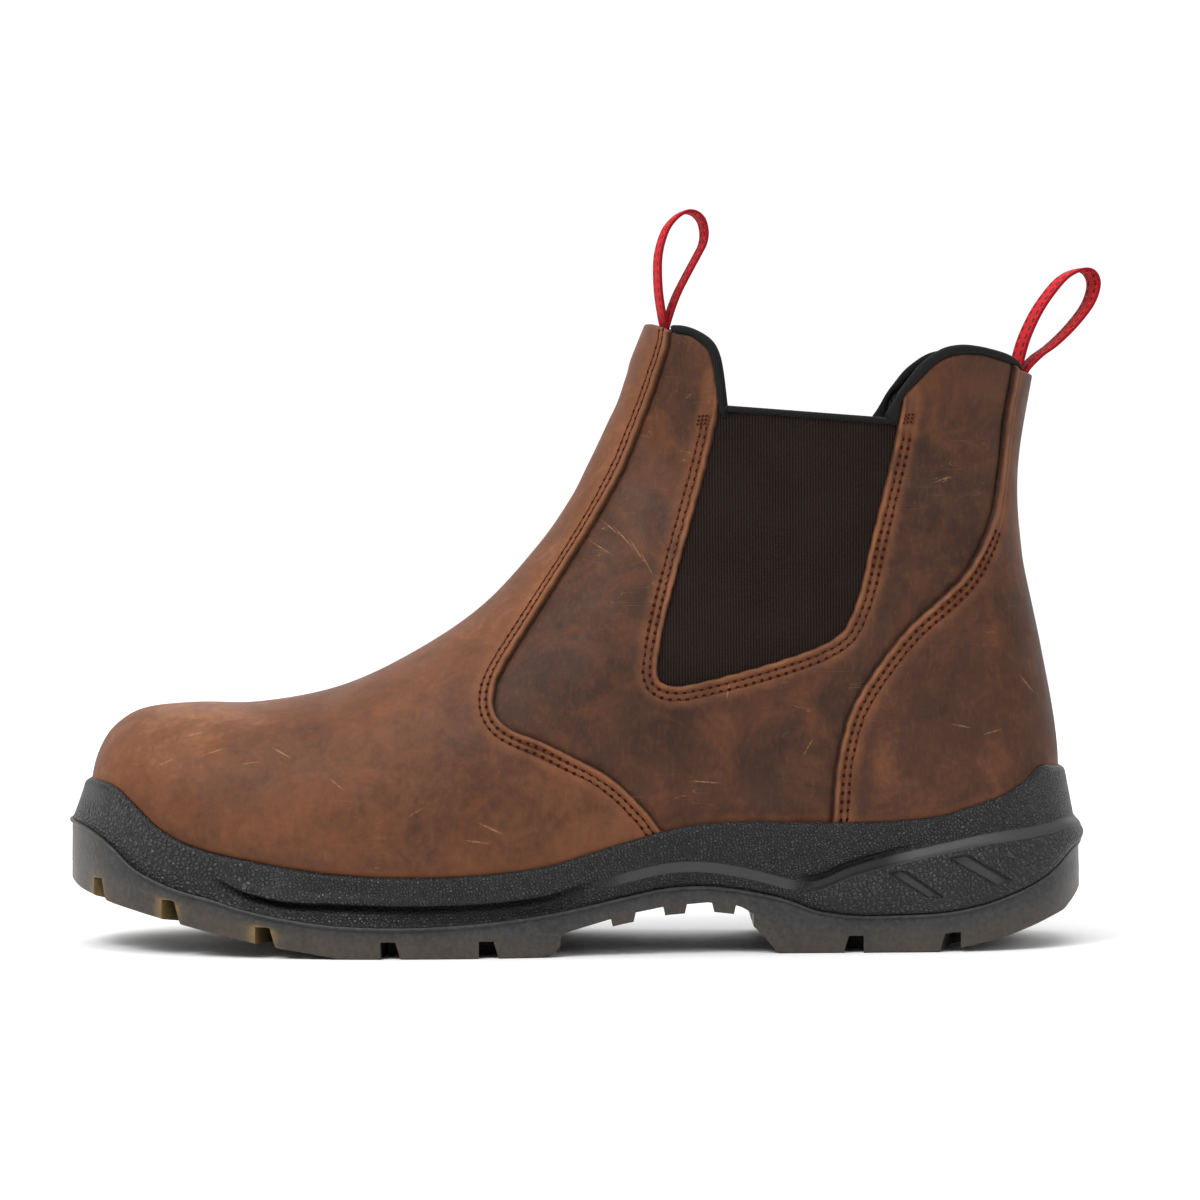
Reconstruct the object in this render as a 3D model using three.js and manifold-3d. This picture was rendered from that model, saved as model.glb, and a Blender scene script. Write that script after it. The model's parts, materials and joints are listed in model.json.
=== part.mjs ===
// Pull-on work boot for the left foot: leather upper with two elastic gores on a lugged sole.
// Millimetres, +Z up, toe towards -X, outer side towards -Y, origin on the floor under the heel.

import * as THREE from 'three';
import Module from 'manifold-3d';
import { mergeVertices } from 'three/addons/utils/BufferGeometryUtils.js';

const wasm = await Module();
wasm.setup();

// Driving sizes of the sole
const soleLength = 310;
const soleWidth = 112;
const soleBack = 55.6;
const sideHeight = 40;
const treadHeight = 5.2;
const rimThickness = 3.8;
const rimRound = 1.2;
const ledgeHalf = 0.6;
const slotDepth = 1.2;
const treadLip = 0.4;
const treadChamfer = 0.8;

// Driving sizes of the upper
const heelInset = 8.1;
const toeInset = 7.4;
const ballInset = 4;
const ankleWidth = 76;
const toeBoxRise = 33;
const shaftHeight = 190;
const seatDepth = 7;
const wall = 2.6;
const vampStep = 1.4;
const counterThickness = 1.4;
const lastingMargin = 16;
const insoleThickness = 3.5;

// Driving sizes of the gores, bindings and loops
const goreThickness = 1.6;
const goreSet = 1.0;
const bindingProud = 0.4;
const bindingThickness = 3.8;
const goreBindingHeight = 2.1;
const loopHeight = 36;
const loopWidth = 14;
const loopTurn = 8;
const loopClearance = 1.5;

// Driving sizes of the tread
const grooveWidth = 6;
const channelWidth = 4;
const sideLugLength = 19;
const ribDrop = 2.7;

// Sizes that follow from the sole
const upperBack = soleBack - heelInset;
const upperLength = soleLength - heelInset - toeInset;
const ballWidth = soleWidth - 2 * ballInset;
const toeBoxHeight = sideHeight + toeBoxRise;
const heelSeat = sideHeight - seatDepth;

const gap = 0.3;
const beyond = 120;
const tolerance = 1e-3;

// Sections of the last from the toe to above the collar, a row for each.
// front and back are shares of the upper length from the heel; frontUp is a share of its height
// column, which is the toe box for the first rows and the shaft for the others; backUp is a
// share of the heel seat on the sole and of the shaft above it; centre, outer and inner are
// shares of half the ball width in the foot and of half the ankle width in the shaft.
// columns: front, frontUp, back, backUp, centre, outer, inner, widest, topRound, bottomRound
const toeRows = [
  [0.999, 0.66, 0.999, 1.40, 0.13, 0.02, 0.02, 0.50, 2.0, 2.0],
  [0.997, 0.75, 0.997, 1.27, 0.13, 0.24, 0.24, 0.50, 2.0, 2.0],
  [0.989, 0.84, 0.988, 1.20, 0.13, 0.41, 0.40, 0.58, 2.1, 2.2],
  [0.975, 0.915, 0.973, 1.13, 0.13, 0.57, 0.55, 0.64, 2.2, 2.4],
  [0.948, 0.975, 0.946, 1.01, 0.12, 0.72, 0.70, 0.68, 2.3, 2.8],
  [0.895, 0.998, 0.898, 0.85, 0.09, 0.865, 0.845, 0.70, 2.35, 3.2],
  [0.823, 1.002, 0.830, 0.70, 0.06, 0.95, 0.93, 0.71, 2.3, 3.4],
  [0.739, 1.071, 0.752, 0.59, 0.02, 0.99, 0.98, 0.73, 2.2, 3.6],
];
const instepRows = [
  [0.660, 0.469, 0.664, 0.53, -0.03, 1.01, 0.95, 0.75, 2.05, 4.0],
  [0.589, 0.544, 0.569, 0.54, -0.06, 0.98, 0.85, 0.76, 1.9, 4.5],
  [0.531, 0.641, 0.467, 0.64, -0.06, 0.92, 0.77, 0.72, 1.85, 5.0],
  [0.497, 0.716, 0.358, 0.80, -0.05, 0.865, 0.70, 0.66, 1.9, 6.0],
];
const ankleRows = [
  [0.479, 0.770, 0.246, 0.94, -0.04, 1.12, 0.97, 0.60, 1.95, 7.0],
  [0.467, 0.808, 0.141, 0.985, -0.01, 1.05, 0.98, 0.56, 2.0, 7.0],
  [0.457, 0.841, 0.059, 1.00, 0, 1.01, 0.98, 0.55, 2.1, 5.0],
  [0.450, 0.863, 0.015, 1.10, 0, 1.00, 0.98, 0.55, 2.15, 3.4],
];
const shaftRows = [
  [0.445, 0.882, 0.000, 0.258, 0, 0.995, 0.985, 0.55, 2.2, 2.6],
  [0.441, 0.901, 0.002, 0.347, 0, 0.99, 0.985, 0.55, 2.2, 2.5],
  [0.437, 0.920, 0.017, 0.479, 0, 0.99, 0.985, 0.54, 2.2, 2.4],
  [0.434, 0.938, 0.036, 0.632, 0, 0.99, 0.99, 0.52, 2.2, 2.3],
  [0.429, 0.958, 0.040, 0.763, 0, 1.00, 1.00, 0.50, 2.2, 2.3],
  [0.420, 0.992, 0.026, 0.905, 0, 1.03, 1.03, 0.50, 2.2, 2.3],
  [0.408, 1.037, 0.008, 1.042, 0, 1.05, 1.05, 0.50, 2.2, 2.3],
];

// Outline of the sole seen from above, from the heel to the toe.
// columns: along (share of the sole length), outer, inner (shares of half the sole width)
const outlineRows = [
  [0.000, 0, 0],
  [0.008, 0.27, 0.27],
  [0.030, 0.47, 0.47],
  [0.070, 0.62, 0.62],
  [0.120, 0.695, 0.69],
  [0.200, 0.72, 0.70],
  [0.300, 0.735, 0.68],
  [0.400, 0.79, 0.65],
  [0.500, 0.89, 0.73],
  [0.600, 0.97, 0.88],
  [0.700, 0.98, 0.97],
  [0.800, 0.91, 0.96],
  [0.860, 0.81, 0.91],
  [0.920, 0.63, 0.80],
  [0.960, 0.44, 0.65],
  [0.985, 0.23, 0.47],
  [0.996, 0.06, 0.30],
  [1.000, -0.11, 0.11],
];

// Lines on the side of the sole.
// columns: along, rim, border (shares of the side height), ledge (share of the way from the
// border up to the rim), step (millimetres that the band below the ledge stands out)
const sideRows = [
  [0.000, 1.350, 0.800, 0.32, 0.6],
  [0.016, 1.370, 0.725, 0.40, 0.8],
  [0.034, 1.380, 0.590, 0.46, 1.0],
  [0.055, 1.278, 0.490, 0.56, 1.2],
  [0.080, 1.180, 0.412, 0.65, 1.2],
  [0.105, 1.113, 0.350, 0.70, 1.2],
  [0.141, 1.032, 0.300, 0.72, 1.2],
  [0.190, 0.990, 0.283, 0.65, 1.2],
  [0.233, 0.988, 0.287, 0.52, 1.0],
  [0.268, 0.990, 0.333, 0.33, 0.0],
  [0.295, 0.995, 0.410, 0.28, -0.9],
  [0.328, 1.007, 0.470, 0.32, -1.2],
  [0.370, 0.995, 0.515, 0.39, -1.2],
  [0.410, 0.950, 0.505, 0.44, -1.4],
  [0.450, 0.867, 0.445, 0.46, -1.5],
  [0.490, 0.770, 0.377, 0.45, -1.6],
  [0.530, 0.682, 0.320, 0.39, -1.6],
  [0.590, 0.625, 0.265, 0.40, -1.6],
  [0.660, 0.605, 0.237, 0.43, -1.6],
  [0.730, 0.627, 0.252, 0.42, -1.6],
  [0.780, 0.675, 0.305, 0.33, -1.6],
  [0.820, 0.730, 0.370, 0.36, -1.3],
  [0.850, 0.775, 0.440, 0.50, -0.3],
  [0.880, 0.850, 0.495, 0.55, 0.0],
  [0.905, 0.967, 0.562, 0.55, 0.0],
  [0.930, 1.145, 0.662, 0.55, 0.0],
  [0.950, 1.257, 0.800, 0.50, 0.0],
  [0.975, 1.290, 0.925, 0.45, 0.0],
  [1.000, 1.275, 0.975, 0.40, 0.0],
];

// Underside of the tread.
// columns: along, base (share of the side height), depth (share of the tread height)
const treadRows = [
  [0.000, 0.525, 0.77],
  [0.020, 0.388, 0.85],
  [0.050, 0.300, 0.88],
  [0.080, 0.225, 0.92],
  [0.113, 0.172, 0.96],
  [0.145, 0.130, 1.00],
  [0.302, 0.130, 1.00],
  [0.320, 0.275, 0.85],
  [0.340, 0.362, ribDrop / treadHeight],
  [0.370, 0.390, ribDrop / treadHeight],
  [0.410, 0.367, ribDrop / treadHeight],
  [0.450, 0.310, ribDrop / treadHeight],
  [0.505, 0.190, 0.30],
  [0.520, 0.140, 0.95],
  [0.530, 0.130, 1.00],
  [0.725, 0.130, 1.00],
  [0.780, 0.207, 0.98],
  [0.820, 0.275, 0.93],
  [0.860, 0.360, 0.88],
  [0.900, 0.445, 0.85],
  [0.950, 0.537, 0.81],
  [0.985, 0.595, 0.77],
  [1.000, 0.637, 0.70],
];

// Side grooves of the tread: along, slant in degrees
const grooveRows = [
  [0.121, 14],
  [0.228, 4],
  [0.574, -4],
  [0.677, 4],
  [0.788, 14],
  [0.890, 30],
];

// Stretches of the tread that carry lugs: from, to (shares of the sole length)
const lugStretches = [[-0.05, 0.326], [0.513, 1.05]];
const archRibs = [[0.343, 0.366], [0.391, 0.414], [0.441, 0.465]];

// Side-view lines of the upper: along from the heel (share of the upper length), up (share of
// the shaft height)
const collarFront = [
  [0.430, 0.999], [0.413, 0.998], [0.396, 0.985], [0.378, 0.979], [0.367, 0.967],
  [0.359, 0.954], [0.355, 0.937], [0.353, 0.915], [0.351, 0.891], [0.348, 0.853],
];
const collarRear = [
  [0.166, 0.832], [0.161, 0.877], [0.148, 0.899], [0.133, 0.923], [0.120, 0.938],
  [0.103, 0.946], [0.079, 0.946], [0.061, 0.939], [0.044, 0.931], [0.032, 0.920], [-0.02, 0.912],
];
const bindingFront = [
  [0.398, 1.001], [0.385, 0.999], [0.370, 0.989], [0.359, 0.978], [0.352, 0.964],
  [0.347, 0.945], [0.344, 0.924], [0.342, 0.901], [0.340, 0.872],
];
const bindingRear = [
  [0.185, 0.852], [0.171, 0.875], [0.159, 0.902], [0.146, 0.929], [0.132, 0.946],
  [0.117, 0.959], [0.099, 0.964], [0.083, 0.962], [0.064, 0.957], [0.046, 0.949], [0.035, 0.937],
];
const goreEdge = [
  [0.347, 0.900], [0.351, 0.851], [0.365, 0.755], [0.393, 0.596], [0.406, 0.519],
  [0.413, 0.447], [0.408, 0.430], [0.396, 0.425], [0.377, 0.428], [0.330, 0.445],
  [0.284, 0.465], [0.247, 0.485], [0.225, 0.506], [0.215, 0.532], [0.205, 0.576],
  [0.195, 0.644], [0.181, 0.730], [0.171, 0.793], [0.166, 0.835], [0.161, 0.880],
];
const goreTop = [[0.351, 0.866], [0.166, 0.844]];
const vampEdge = [
  [0.397, 1.100], [0.397, 0.984], [0.410, 0.909], [0.427, 0.837], [0.448, 0.758],
  [0.479, 0.674], [0.514, 0.588], [0.541, 0.522], [0.571, 0.447], [0.579, 0.405],
  [0.574, 0.374], [0.558, 0.355], [0.529, 0.338], [0.501, 0.316], [0.473, 0.294],
  [0.450, 0.268], [0.432, 0.240], [0.416, 0.210], [0.400, 0.150], [0.390, -0.10],
];
const counterEdge = [
  [0.044, 1.000], [0.044, 0.933], [0.054, 0.843], [0.057, 0.792], [0.061, 0.743],
  [0.067, 0.694], [0.079, 0.647], [0.098, 0.598], [0.123, 0.560], [0.152, 0.521],
  [0.176, 0.478], [0.199, 0.429], [0.214, 0.390], [0.223, 0.352], [0.231, 0.298],
  [0.234, 0.251], [0.236, 0.190],
];

// Slanted slots in the raised side of the heel: along the sole, up (share of the side height)
const heelSlots = [
  [[0.194, 0.602], [0.180, 0.610], [0.144, 0.420], [0.158, 0.422]],
  [[0.136, 0.705], [0.120, 0.725], [0.079, 0.535], [0.091, 0.502]],
];

// Pull loops seen from the side: behind the base, above the base (shares of the loop height)
const frontLoop = {
  seat: [0.4025, 0.998],
  outer: [
    [-0.040, 0.04], [-0.075, 0.31], [-0.080, 0.60], [-0.020, 0.81], [0.065, 0.93],
    [0.175, 0.995], [0.265, 0.99], [0.335, 0.94], [0.370, 0.84], [0.370, 0.74],
    [0.315, 0.61], [0.225, 0.44], [0.125, 0.27], [0.045, 0.04],
  ],
  inner: [
    [0.002, 0.16], [-0.028, 0.40], [-0.022, 0.60], [0.030, 0.78], [0.100, 0.88],
    [0.185, 0.935], [0.255, 0.92], [0.305, 0.85], [0.318, 0.74], [0.265, 0.61],
    [0.175, 0.44], [0.075, 0.25],
  ],
  tail: [[0.030, -0.05], [-0.070, -0.40], [-0.150, -0.40], [-0.055, -0.05]],
};
const rearLoop = {
  seat: [0.030, 0.934],
  outer: [
    [-0.045, 0.02], [-0.020, 0.21], [0.020, 0.39], [0.090, 0.53], [0.185, 0.66],
    [0.310, 0.785], [0.415, 0.835], [0.525, 0.835], [0.590, 0.76], [0.610, 0.655],
    [0.565, 0.515], [0.495, 0.42], [0.390, 0.30], [0.245, 0.165], [0.135, 0.075], [0.050, 0.0],
  ],
  inner: [
    [0.040, 0.12], [0.075, 0.26], [0.130, 0.43], [0.210, 0.56], [0.320, 0.68],
    [0.420, 0.745], [0.510, 0.745], [0.555, 0.67], [0.530, 0.56], [0.470, 0.44],
    [0.370, 0.325], [0.210, 0.18],
  ],
  tail: [[0.020, -0.06], [0.000, -0.42], [-0.080, -0.42], [-0.065, -0.06]],
};

// Colours, roughness and metalness of the real materials
const finishes = {
  leather: { color: 0x6b3d24, roughness: 0.62, metalness: 0 },
  counter: { color: 0x70402a, roughness: 0.62, metalness: 0 },
  elastic: { color: 0x2b1d1a, roughness: 0.85, metalness: 0 },
  binding: { color: 0x1b1b1c, roughness: 0.8, metalness: 0 },
  webbing: { color: 0xb3141f, roughness: 0.7, metalness: 0 },
  foam: { color: 0x1d1d1f, roughness: 0.55, metalness: 0 },
  rubber: { color: 0x3a332e, roughness: 0.35, metalness: 0 },
  lining: { color: 0x2e2a28, roughness: 0.9, metalness: 0 },
};

// Curves and tables

function smoothAt(rows, key, column) {
  const last = rows.length - 1;
  const slope = (i) => {
    const low = Math.max(i - 1, 0);
    const high = Math.min(i + 1, last);
    return (rows[high][column] - rows[low][column]) / (rows[high][0] - rows[low][0]);
  };
  const x = THREE.MathUtils.clamp(key, rows[0][0], rows[last][0]);
  let i = 0;
  while (i < last - 1 && x > rows[i + 1][0]) i += 1;
  const span = rows[i + 1][0] - rows[i][0];
  const t = (x - rows[i][0]) / span;
  const start = rows[i][column];
  const rise = rows[i + 1][column] - start;
  const a = slope(i) * span - rise;
  const b = rise - slope(i + 1) * span;
  return start + t * rise + t * (1 - t) * (a * (1 - t) + b * t);
}

function straightAt(rows, key, column) {
  const last = rows.length - 1;
  const x = THREE.MathUtils.clamp(key, rows[0][0], rows[last][0]);
  let i = 0;
  while (i < last - 1 && x > rows[i + 1][0]) i += 1;
  const t = (x - rows[i][0]) / (rows[i + 1][0] - rows[i][0]);
  return THREE.MathUtils.lerp(rows[i][column], rows[i + 1][column], t);
}

// Solids

function solid(geometry) {
  const mesh = new wasm.Mesh({
    numProp: 3,
    vertProperties: new Float32Array(geometry.attributes.position.array),
    triVerts: new Uint32Array(geometry.index.array),
  });
  return new wasm.Manifold(mesh);
}

function merged(geometry) {
  geometry.deleteAttribute('uv');
  geometry.deleteAttribute('normal');
  const whole = mergeVertices(geometry, tolerance);
  const kept = [];
  const { array } = whole.index;
  for (let i = 0; i < array.length; i += 3) {
    const [a, b, c] = [array[i], array[i + 1], array[i + 2]];
    if (a !== b && b !== c && c !== a) kept.push(a, b, c);
  }
  whole.setIndex(kept);
  return whole;
}

// A closed skin: place gives the point for a turn from 0 to 1 and a ring number
function skin(around, rings, place) {
  const grid = new THREE.PlaneGeometry(1, 1, around, rings);
  const { position, uv } = grid.attributes;
  for (let i = 0; i < position.count; i += 1) {
    const turn = Math.round((1 - uv.getX(i)) * around) % around;
    const ring = Math.round((1 - uv.getY(i)) * rings);
    const point = place(turn, ring);
    position.setXYZ(i, point.x, point.y, point.z);
  }
  return merged(grid);
}

function mainBody(shape) {
  const bodies = shape.decompose();
  bodies.sort((a, b) => b.volume() - a.volume());
  return bodies[0];
}

function meshOf(name, shape, finish) {
  const { vertProperties, triVerts } = mainBody(shape).getMesh();
  const geometry = new THREE.BufferGeometry();
  geometry.setAttribute('position', new THREE.BufferAttribute(new Float32Array(vertProperties), 3));
  geometry.setIndex(new THREE.BufferAttribute(new Uint32Array(triVerts), 1));
  geometry.computeVertexNormals();
  const mesh = new THREE.Mesh(geometry, new THREE.MeshStandardMaterial(finish));
  mesh.name = name;
  return mesh;
}

// The outline without points that lie on a straight run between their neighbours
function cornersOf(points) {
  return points.filter((point, i) => {
    const before = points[(i + points.length - 1) % points.length];
    const after = points[(i + 1) % points.length];
    const turn = point.clone().sub(before).cross(after.clone().sub(point));
    return Math.abs(turn) > tolerance;
  });
}

function extruded(points, depth, holes = []) {
  const corners = cornersOf(points);
  const shape = new THREE.Shape(THREE.ShapeUtils.isClockWise(corners) ? corners.toReversed() : corners);
  shape.holes = holes.map((hole) => new THREE.Path(hole));
  return new THREE.ExtrudeGeometry(shape, { depth, bevelEnabled: false });
}

// A prism through the whole width with a side-view outline
function sidePrism(points, from = -beyond, to = beyond) {
  const geometry = extruded(points, to - from);
  geometry.rotateX(Math.PI / 2);
  geometry.translate(0, to, 0);
  return solid(merged(geometry));
}

function planPrism(points, from, to) {
  const geometry = extruded(points, to - from);
  geometry.translate(0, 0, from);
  return solid(merged(geometry));
}

// The outline moved outwards by a distance, or inwards where it is negative
function moved(points, distance) {
  const way = THREE.ShapeUtils.isClockWise(points) ? -1 : 1;
  return points.map((point, i) => {
    const before = points[(i + points.length - 1) % points.length];
    const after = points[(i + 1) % points.length];
    const along = after.clone().sub(before).normalize();
    return new THREE.Vector2(point.x + along.y * distance * way, point.y - along.x * distance * way);
  });
}

// The last, as a fan of sections from the toe to above the collar

function sectionOf(row, frontUnit, backUnit, halfWidth) {
  const [front, frontUp, back, backUp, centre, outer, inner, widest, topRound, bottomRound] = row;
  return {
    front: new THREE.Vector3(upperBack - front * upperLength, centre * halfWidth, frontUp * frontUnit),
    back: new THREE.Vector3(upperBack - back * upperLength, centre * halfWidth, backUp * backUnit),
    widths: new THREE.Vector3(outer * halfWidth, inner * halfWidth, widest),
    rounds: new THREE.Vector3(topRound, bottomRound, 0),
  };
}

const sections = [
  ...toeRows.map((row) => sectionOf(row, toeBoxHeight, heelSeat, ballWidth / 2)),
  ...instepRows.map((row) => sectionOf(row, shaftHeight, heelSeat, ballWidth / 2)),
  ...ankleRows.map((row) => sectionOf(row, shaftHeight, heelSeat, ankleWidth / 2)),
  ...shaftRows.map((row) => sectionOf(row, shaftHeight, shaftHeight, ankleWidth / 2)),
];
const sectionCurve = (key) => new THREE.CatmullRomCurve3(sections.map((s) => s[key]), false, 'catmullrom');
const frontCurve = sectionCurve('front');
const backCurve = sectionCurve('back');
const widthCurve = sectionCurve('widths');
const roundCurve = sectionCurve('rounds');

function lastPoint(along, turn) {
  const front = frontCurve.getPoint(along);
  const back = backCurve.getPoint(along);
  const widths = widthCurve.getPoint(along);
  const rounds = roundCurve.getPoint(along);
  const outside = turn <= 0.5;
  const half = outside ? turn * 2 : (1 - turn) * 2;
  const reach = outside ? -widths.x : widths.y;
  const upper = half < 0.5;
  const angle = (upper ? half : half - 0.5) * Math.PI;
  const power = 2 / (upper ? rounds.x : rounds.y);
  const down = upper
    ? widths.z * (1 - Math.cos(angle) ** power)
    : widths.z + (1 - widths.z) * Math.sin(angle) ** power;
  const side = upper ? Math.sin(angle) ** power : Math.abs(Math.cos(angle)) ** power;
  const point = front.clone().lerp(back, down);
  point.y += half === 1 ? 0 : reach * side;
  return point;
}

const lastAround = 22;
const stations = 24;
const lastSkin = skin(lastAround, stations + 2, (turn, ring) => {
  if (ring === 0) return frontCurve.getPoint(0).lerp(backCurve.getPoint(0), 0.5);
  if (ring === stations + 2) return frontCurve.getPoint(1).lerp(backCurve.getPoint(1), 0.5);
  return lastPoint((ring - 1) / stations, turn / lastAround);
});
lastSkin.computeVertexNormals();

function form(offset) {
  const geometry = lastSkin.clone();
  const { position, normal } = geometry.attributes;
  for (let i = 0; i < position.count; i += 1) {
    position.setXYZ(
      i,
      position.getX(i) + normal.getX(i) * offset,
      position.getY(i) + normal.getY(i) * offset,
      position.getZ(i) + normal.getZ(i) * offset,
    );
  }
  return solid(geometry);
}

const featherRows = sections
  .slice(1, toeRows.length + instepRows.length + ankleRows.length)
  .map(({ back }) => [back.x, back.z]);
const featherAt = (x) => straightAt(featherRows, x, 1);

// Side-view outlines of the upper

const sidePoint = ([along, up]) => new THREE.Vector2(upperBack - along * upperLength, up * shaftHeight);
const sideLine = (rows) => rows.map(sidePoint);
const pointsPerRow = 1.3;
const smoothLine = (rows) => (
  new THREE.SplineCurve(sideLine(rows)).getPoints(Math.round(rows.length * pointsPerRow))
);
const far = new THREE.Vector2(-soleLength, 2 * shaftHeight);
const collarOutline = [
  ...sideLine(collarFront),
  ...sideLine(collarRear),
  new THREE.Vector2(soleLength, sidePoint(collarRear.at(-1)).y),
  new THREE.Vector2(soleLength, far.y),
  far,
  new THREE.Vector2(far.x, sidePoint(collarFront[0]).y),
];
const goreOutline = smoothLine(goreEdge);
const vampOutline = [
  ...smoothLine(vampEdge),
  new THREE.Vector2(far.x, sidePoint(vampEdge.at(-1)).y),
  new THREE.Vector2(far.x, sidePoint(vampEdge[0]).y),
];
const counterOutline = [
  ...smoothLine(counterEdge),
  new THREE.Vector2(soleLength, sidePoint(counterEdge.at(-1)).y),
  new THREE.Vector2(soleLength, sidePoint(counterEdge[0]).y),
];

const shellForms = {
  outside: form(0),
  clear: form(gap),
  inside: form(-wall),
  insideClear: form(-wall - gap),
};
const collarRegion = sidePrism(collarOutline);
const collarRegionClear = sidePrism(moved(collarOutline, -gap));

// The sole, as rings of one outline

const outlinePoints = [
  ...outlineRows.map(([along, outer]) => [along, -outer]),
  ...outlineRows.slice(1, -1).reverse().map(([along, , inner]) => [along, inner]),
].map(([along, side]) => new THREE.Vector3(soleBack - along * soleLength, (side * soleWidth) / 2, 0));
const outlineCurve = new THREE.CatmullRomCurve3(outlinePoints, true, 'centripetal');
const soleAround = 60;
const outline = Array.from({ length: soleAround }, (_, i) => {
  const point = outlineCurve.getPoint(i / soleAround);
  return new THREE.Vector2(point.x, point.y);
});
const outlineOut = moved(outline, 1).map((point, i) => point.sub(outline[i]));
const outlineAlong = outline.map((point) => (soleBack - point.x) / soleLength);

const sideLineAt = (i, column) => smoothAt(sideRows, outlineAlong[i], column);
const treadLineAt = (i, column) => straightAt(treadRows, outlineAlong[i], column);
const borderAt = (i) => sideLineAt(i, 2) * sideHeight;
const baseAt = (i) => treadLineAt(i, 1) * sideHeight;
const treadAt = (i) => baseAt(i) - treadLineAt(i, 2) * treadHeight;

const caster = new THREE.Raycaster();
const lastMesh = new THREE.Mesh(lastSkin, new THREE.MeshBasicMaterial({ side: THREE.DoubleSide }));
const rimLine = outline.map((point, i) => {
  const height = sideLineAt(i, 1) * sideHeight;
  const out = new THREE.Vector3(outlineOut[i].x, outlineOut[i].y, 0);
  const start = new THREE.Vector3(point.x, point.y, height).addScaledVector(out, beyond);
  caster.set(start, out.clone().negate());
  const [hit] = caster.intersectObject(lastMesh);
  return hit.point;
});

function onOutline(i, out, height) {
  return new THREE.Vector3(outline[i].x + outlineOut[i].x * out, outline[i].y + outlineOut[i].y * out, height);
}

function onRim(i, out, drop) {
  const point = rimLine[i].clone();
  point.x += outlineOut[i].x * out;
  point.y += outlineOut[i].y * out;
  point.z -= drop;
  return point;
}

// The middle line of the sole that closes a ring
function middle(ringPoint, i) {
  const other = (soleAround - i) % soleAround;
  return ringPoint(i).add(ringPoint(other)).multiplyScalar(0.5);
}

function soleSkin(rings) {
  const last = rings.length - 1;
  return solid(skin(soleAround, rings.length + 1, (i, ring) => {
    if (ring === 0) return middle(rings[0], i);
    if (ring > last + 1) return middle(rings[last], i);
    return rings[ring - 1](i);
  }));
}

function midsoleBody(inset) {
  const onSide = (i, share, out) => {
    const point = onRim(i, rimThickness, 0).lerp(onOutline(i, 0, borderAt(i)), 1 - share);
    point.x += outlineOut[i].x * out;
    point.y += outlineOut[i].y * out;
    return point;
  };
  const ledge = (i) => sideLineAt(i, 3);
  const step = (i) => sideLineAt(i, 4);
  const tall = (i) => rimLine[i].z - borderAt(i);
  return soleSkin([
    (i) => onRim(i, rimThickness - rimRound - inset, 0),
    (i) => onRim(i, rimThickness - inset, rimRound),
    (i) => onSide(i, ledge(i) + ledgeHalf / tall(i), -inset),
    (i) => onSide(i, ledge(i) - ledgeHalf / tall(i), step(i) - inset),
    (i) => onSide(i, ledgeHalf / tall(i), step(i) - inset),
    (i) => onOutline(i, Math.min(step(i), 0) - inset, borderAt(i)),
  ]);
}

function outsoleBody(bottomAt) {
  return soleSkin([
    (i) => onOutline(i, 0, borderAt(i) - gap),
    (i) => onOutline(i, treadLip, borderAt(i) - gap - treadLip),
    (i) => onOutline(i, treadLip, bottomAt(i) + treadChamfer),
    (i) => onOutline(i, treadLip - treadChamfer, bottomAt(i)),
  ]);
}

function plate(inset, top, bottom) {
  return soleSkin([
    (i) => onOutline(i, -inset, top(outline[i].x)),
    (i) => onOutline(i, -inset, bottom),
  ]);
}

// Pieces

function makeUpper() {
  const vamp = form(vampStep).intersect(sidePrism(vampOutline));
  const underside = plate(
    ballInset + wall + lastingMargin,
    (x) => featherAt(x) + wall + gap / 2,
    -treadHeight,
  );
  return shellForms.outside
    .add(vamp)
    .subtract(shellForms.inside)
    .subtract(collarRegion)
    .subtract(sidePrism(goreOutline))
    .subtract(underside);
}

function makeCounter() {
  return form(gap + counterThickness)
    .subtract(shellForms.clear)
    .intersect(sidePrism(counterOutline))
    .subtract(collarRegionClear);
}

function makeInsole() {
  const below = plate(0, (x) => featherAt(x) + wall + gap + insoleThickness, 0);
  return shellForms.insideClear.intersect(below);
}

function makeMidsole() {
  const slots = heelSlots
    .map((rows) => rows.map(([along, up]) => new THREE.Vector2(soleBack - along * soleLength, up * sideHeight)))
    .map((points) => sidePrism(points))
    .reduce((all, slot) => all.add(slot));
  const vamp = form(vampStep + gap).intersect(sidePrism(moved(vampOutline, gap)));
  const counter = form(counterThickness + 2 * gap).intersect(sidePrism(moved(counterOutline, gap)));
  return midsoleBody(0)
    .subtract(slots.subtract(midsoleBody(slotDepth)))
    .subtract(shellForms.clear)
    .subtract(vamp)
    .subtract(counter);
}

function bar(along, side, length, width, slant) {
  const geometry = new THREE.BoxGeometry(width, length, 4 * sideHeight);
  geometry.translate(0, side * (length / 2), 0);
  geometry.rotateZ(THREE.MathUtils.degToRad(slant) * side);
  geometry.translate(soleBack - along * soleLength, 0, 0);
  return solid(merged(geometry));
}

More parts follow.
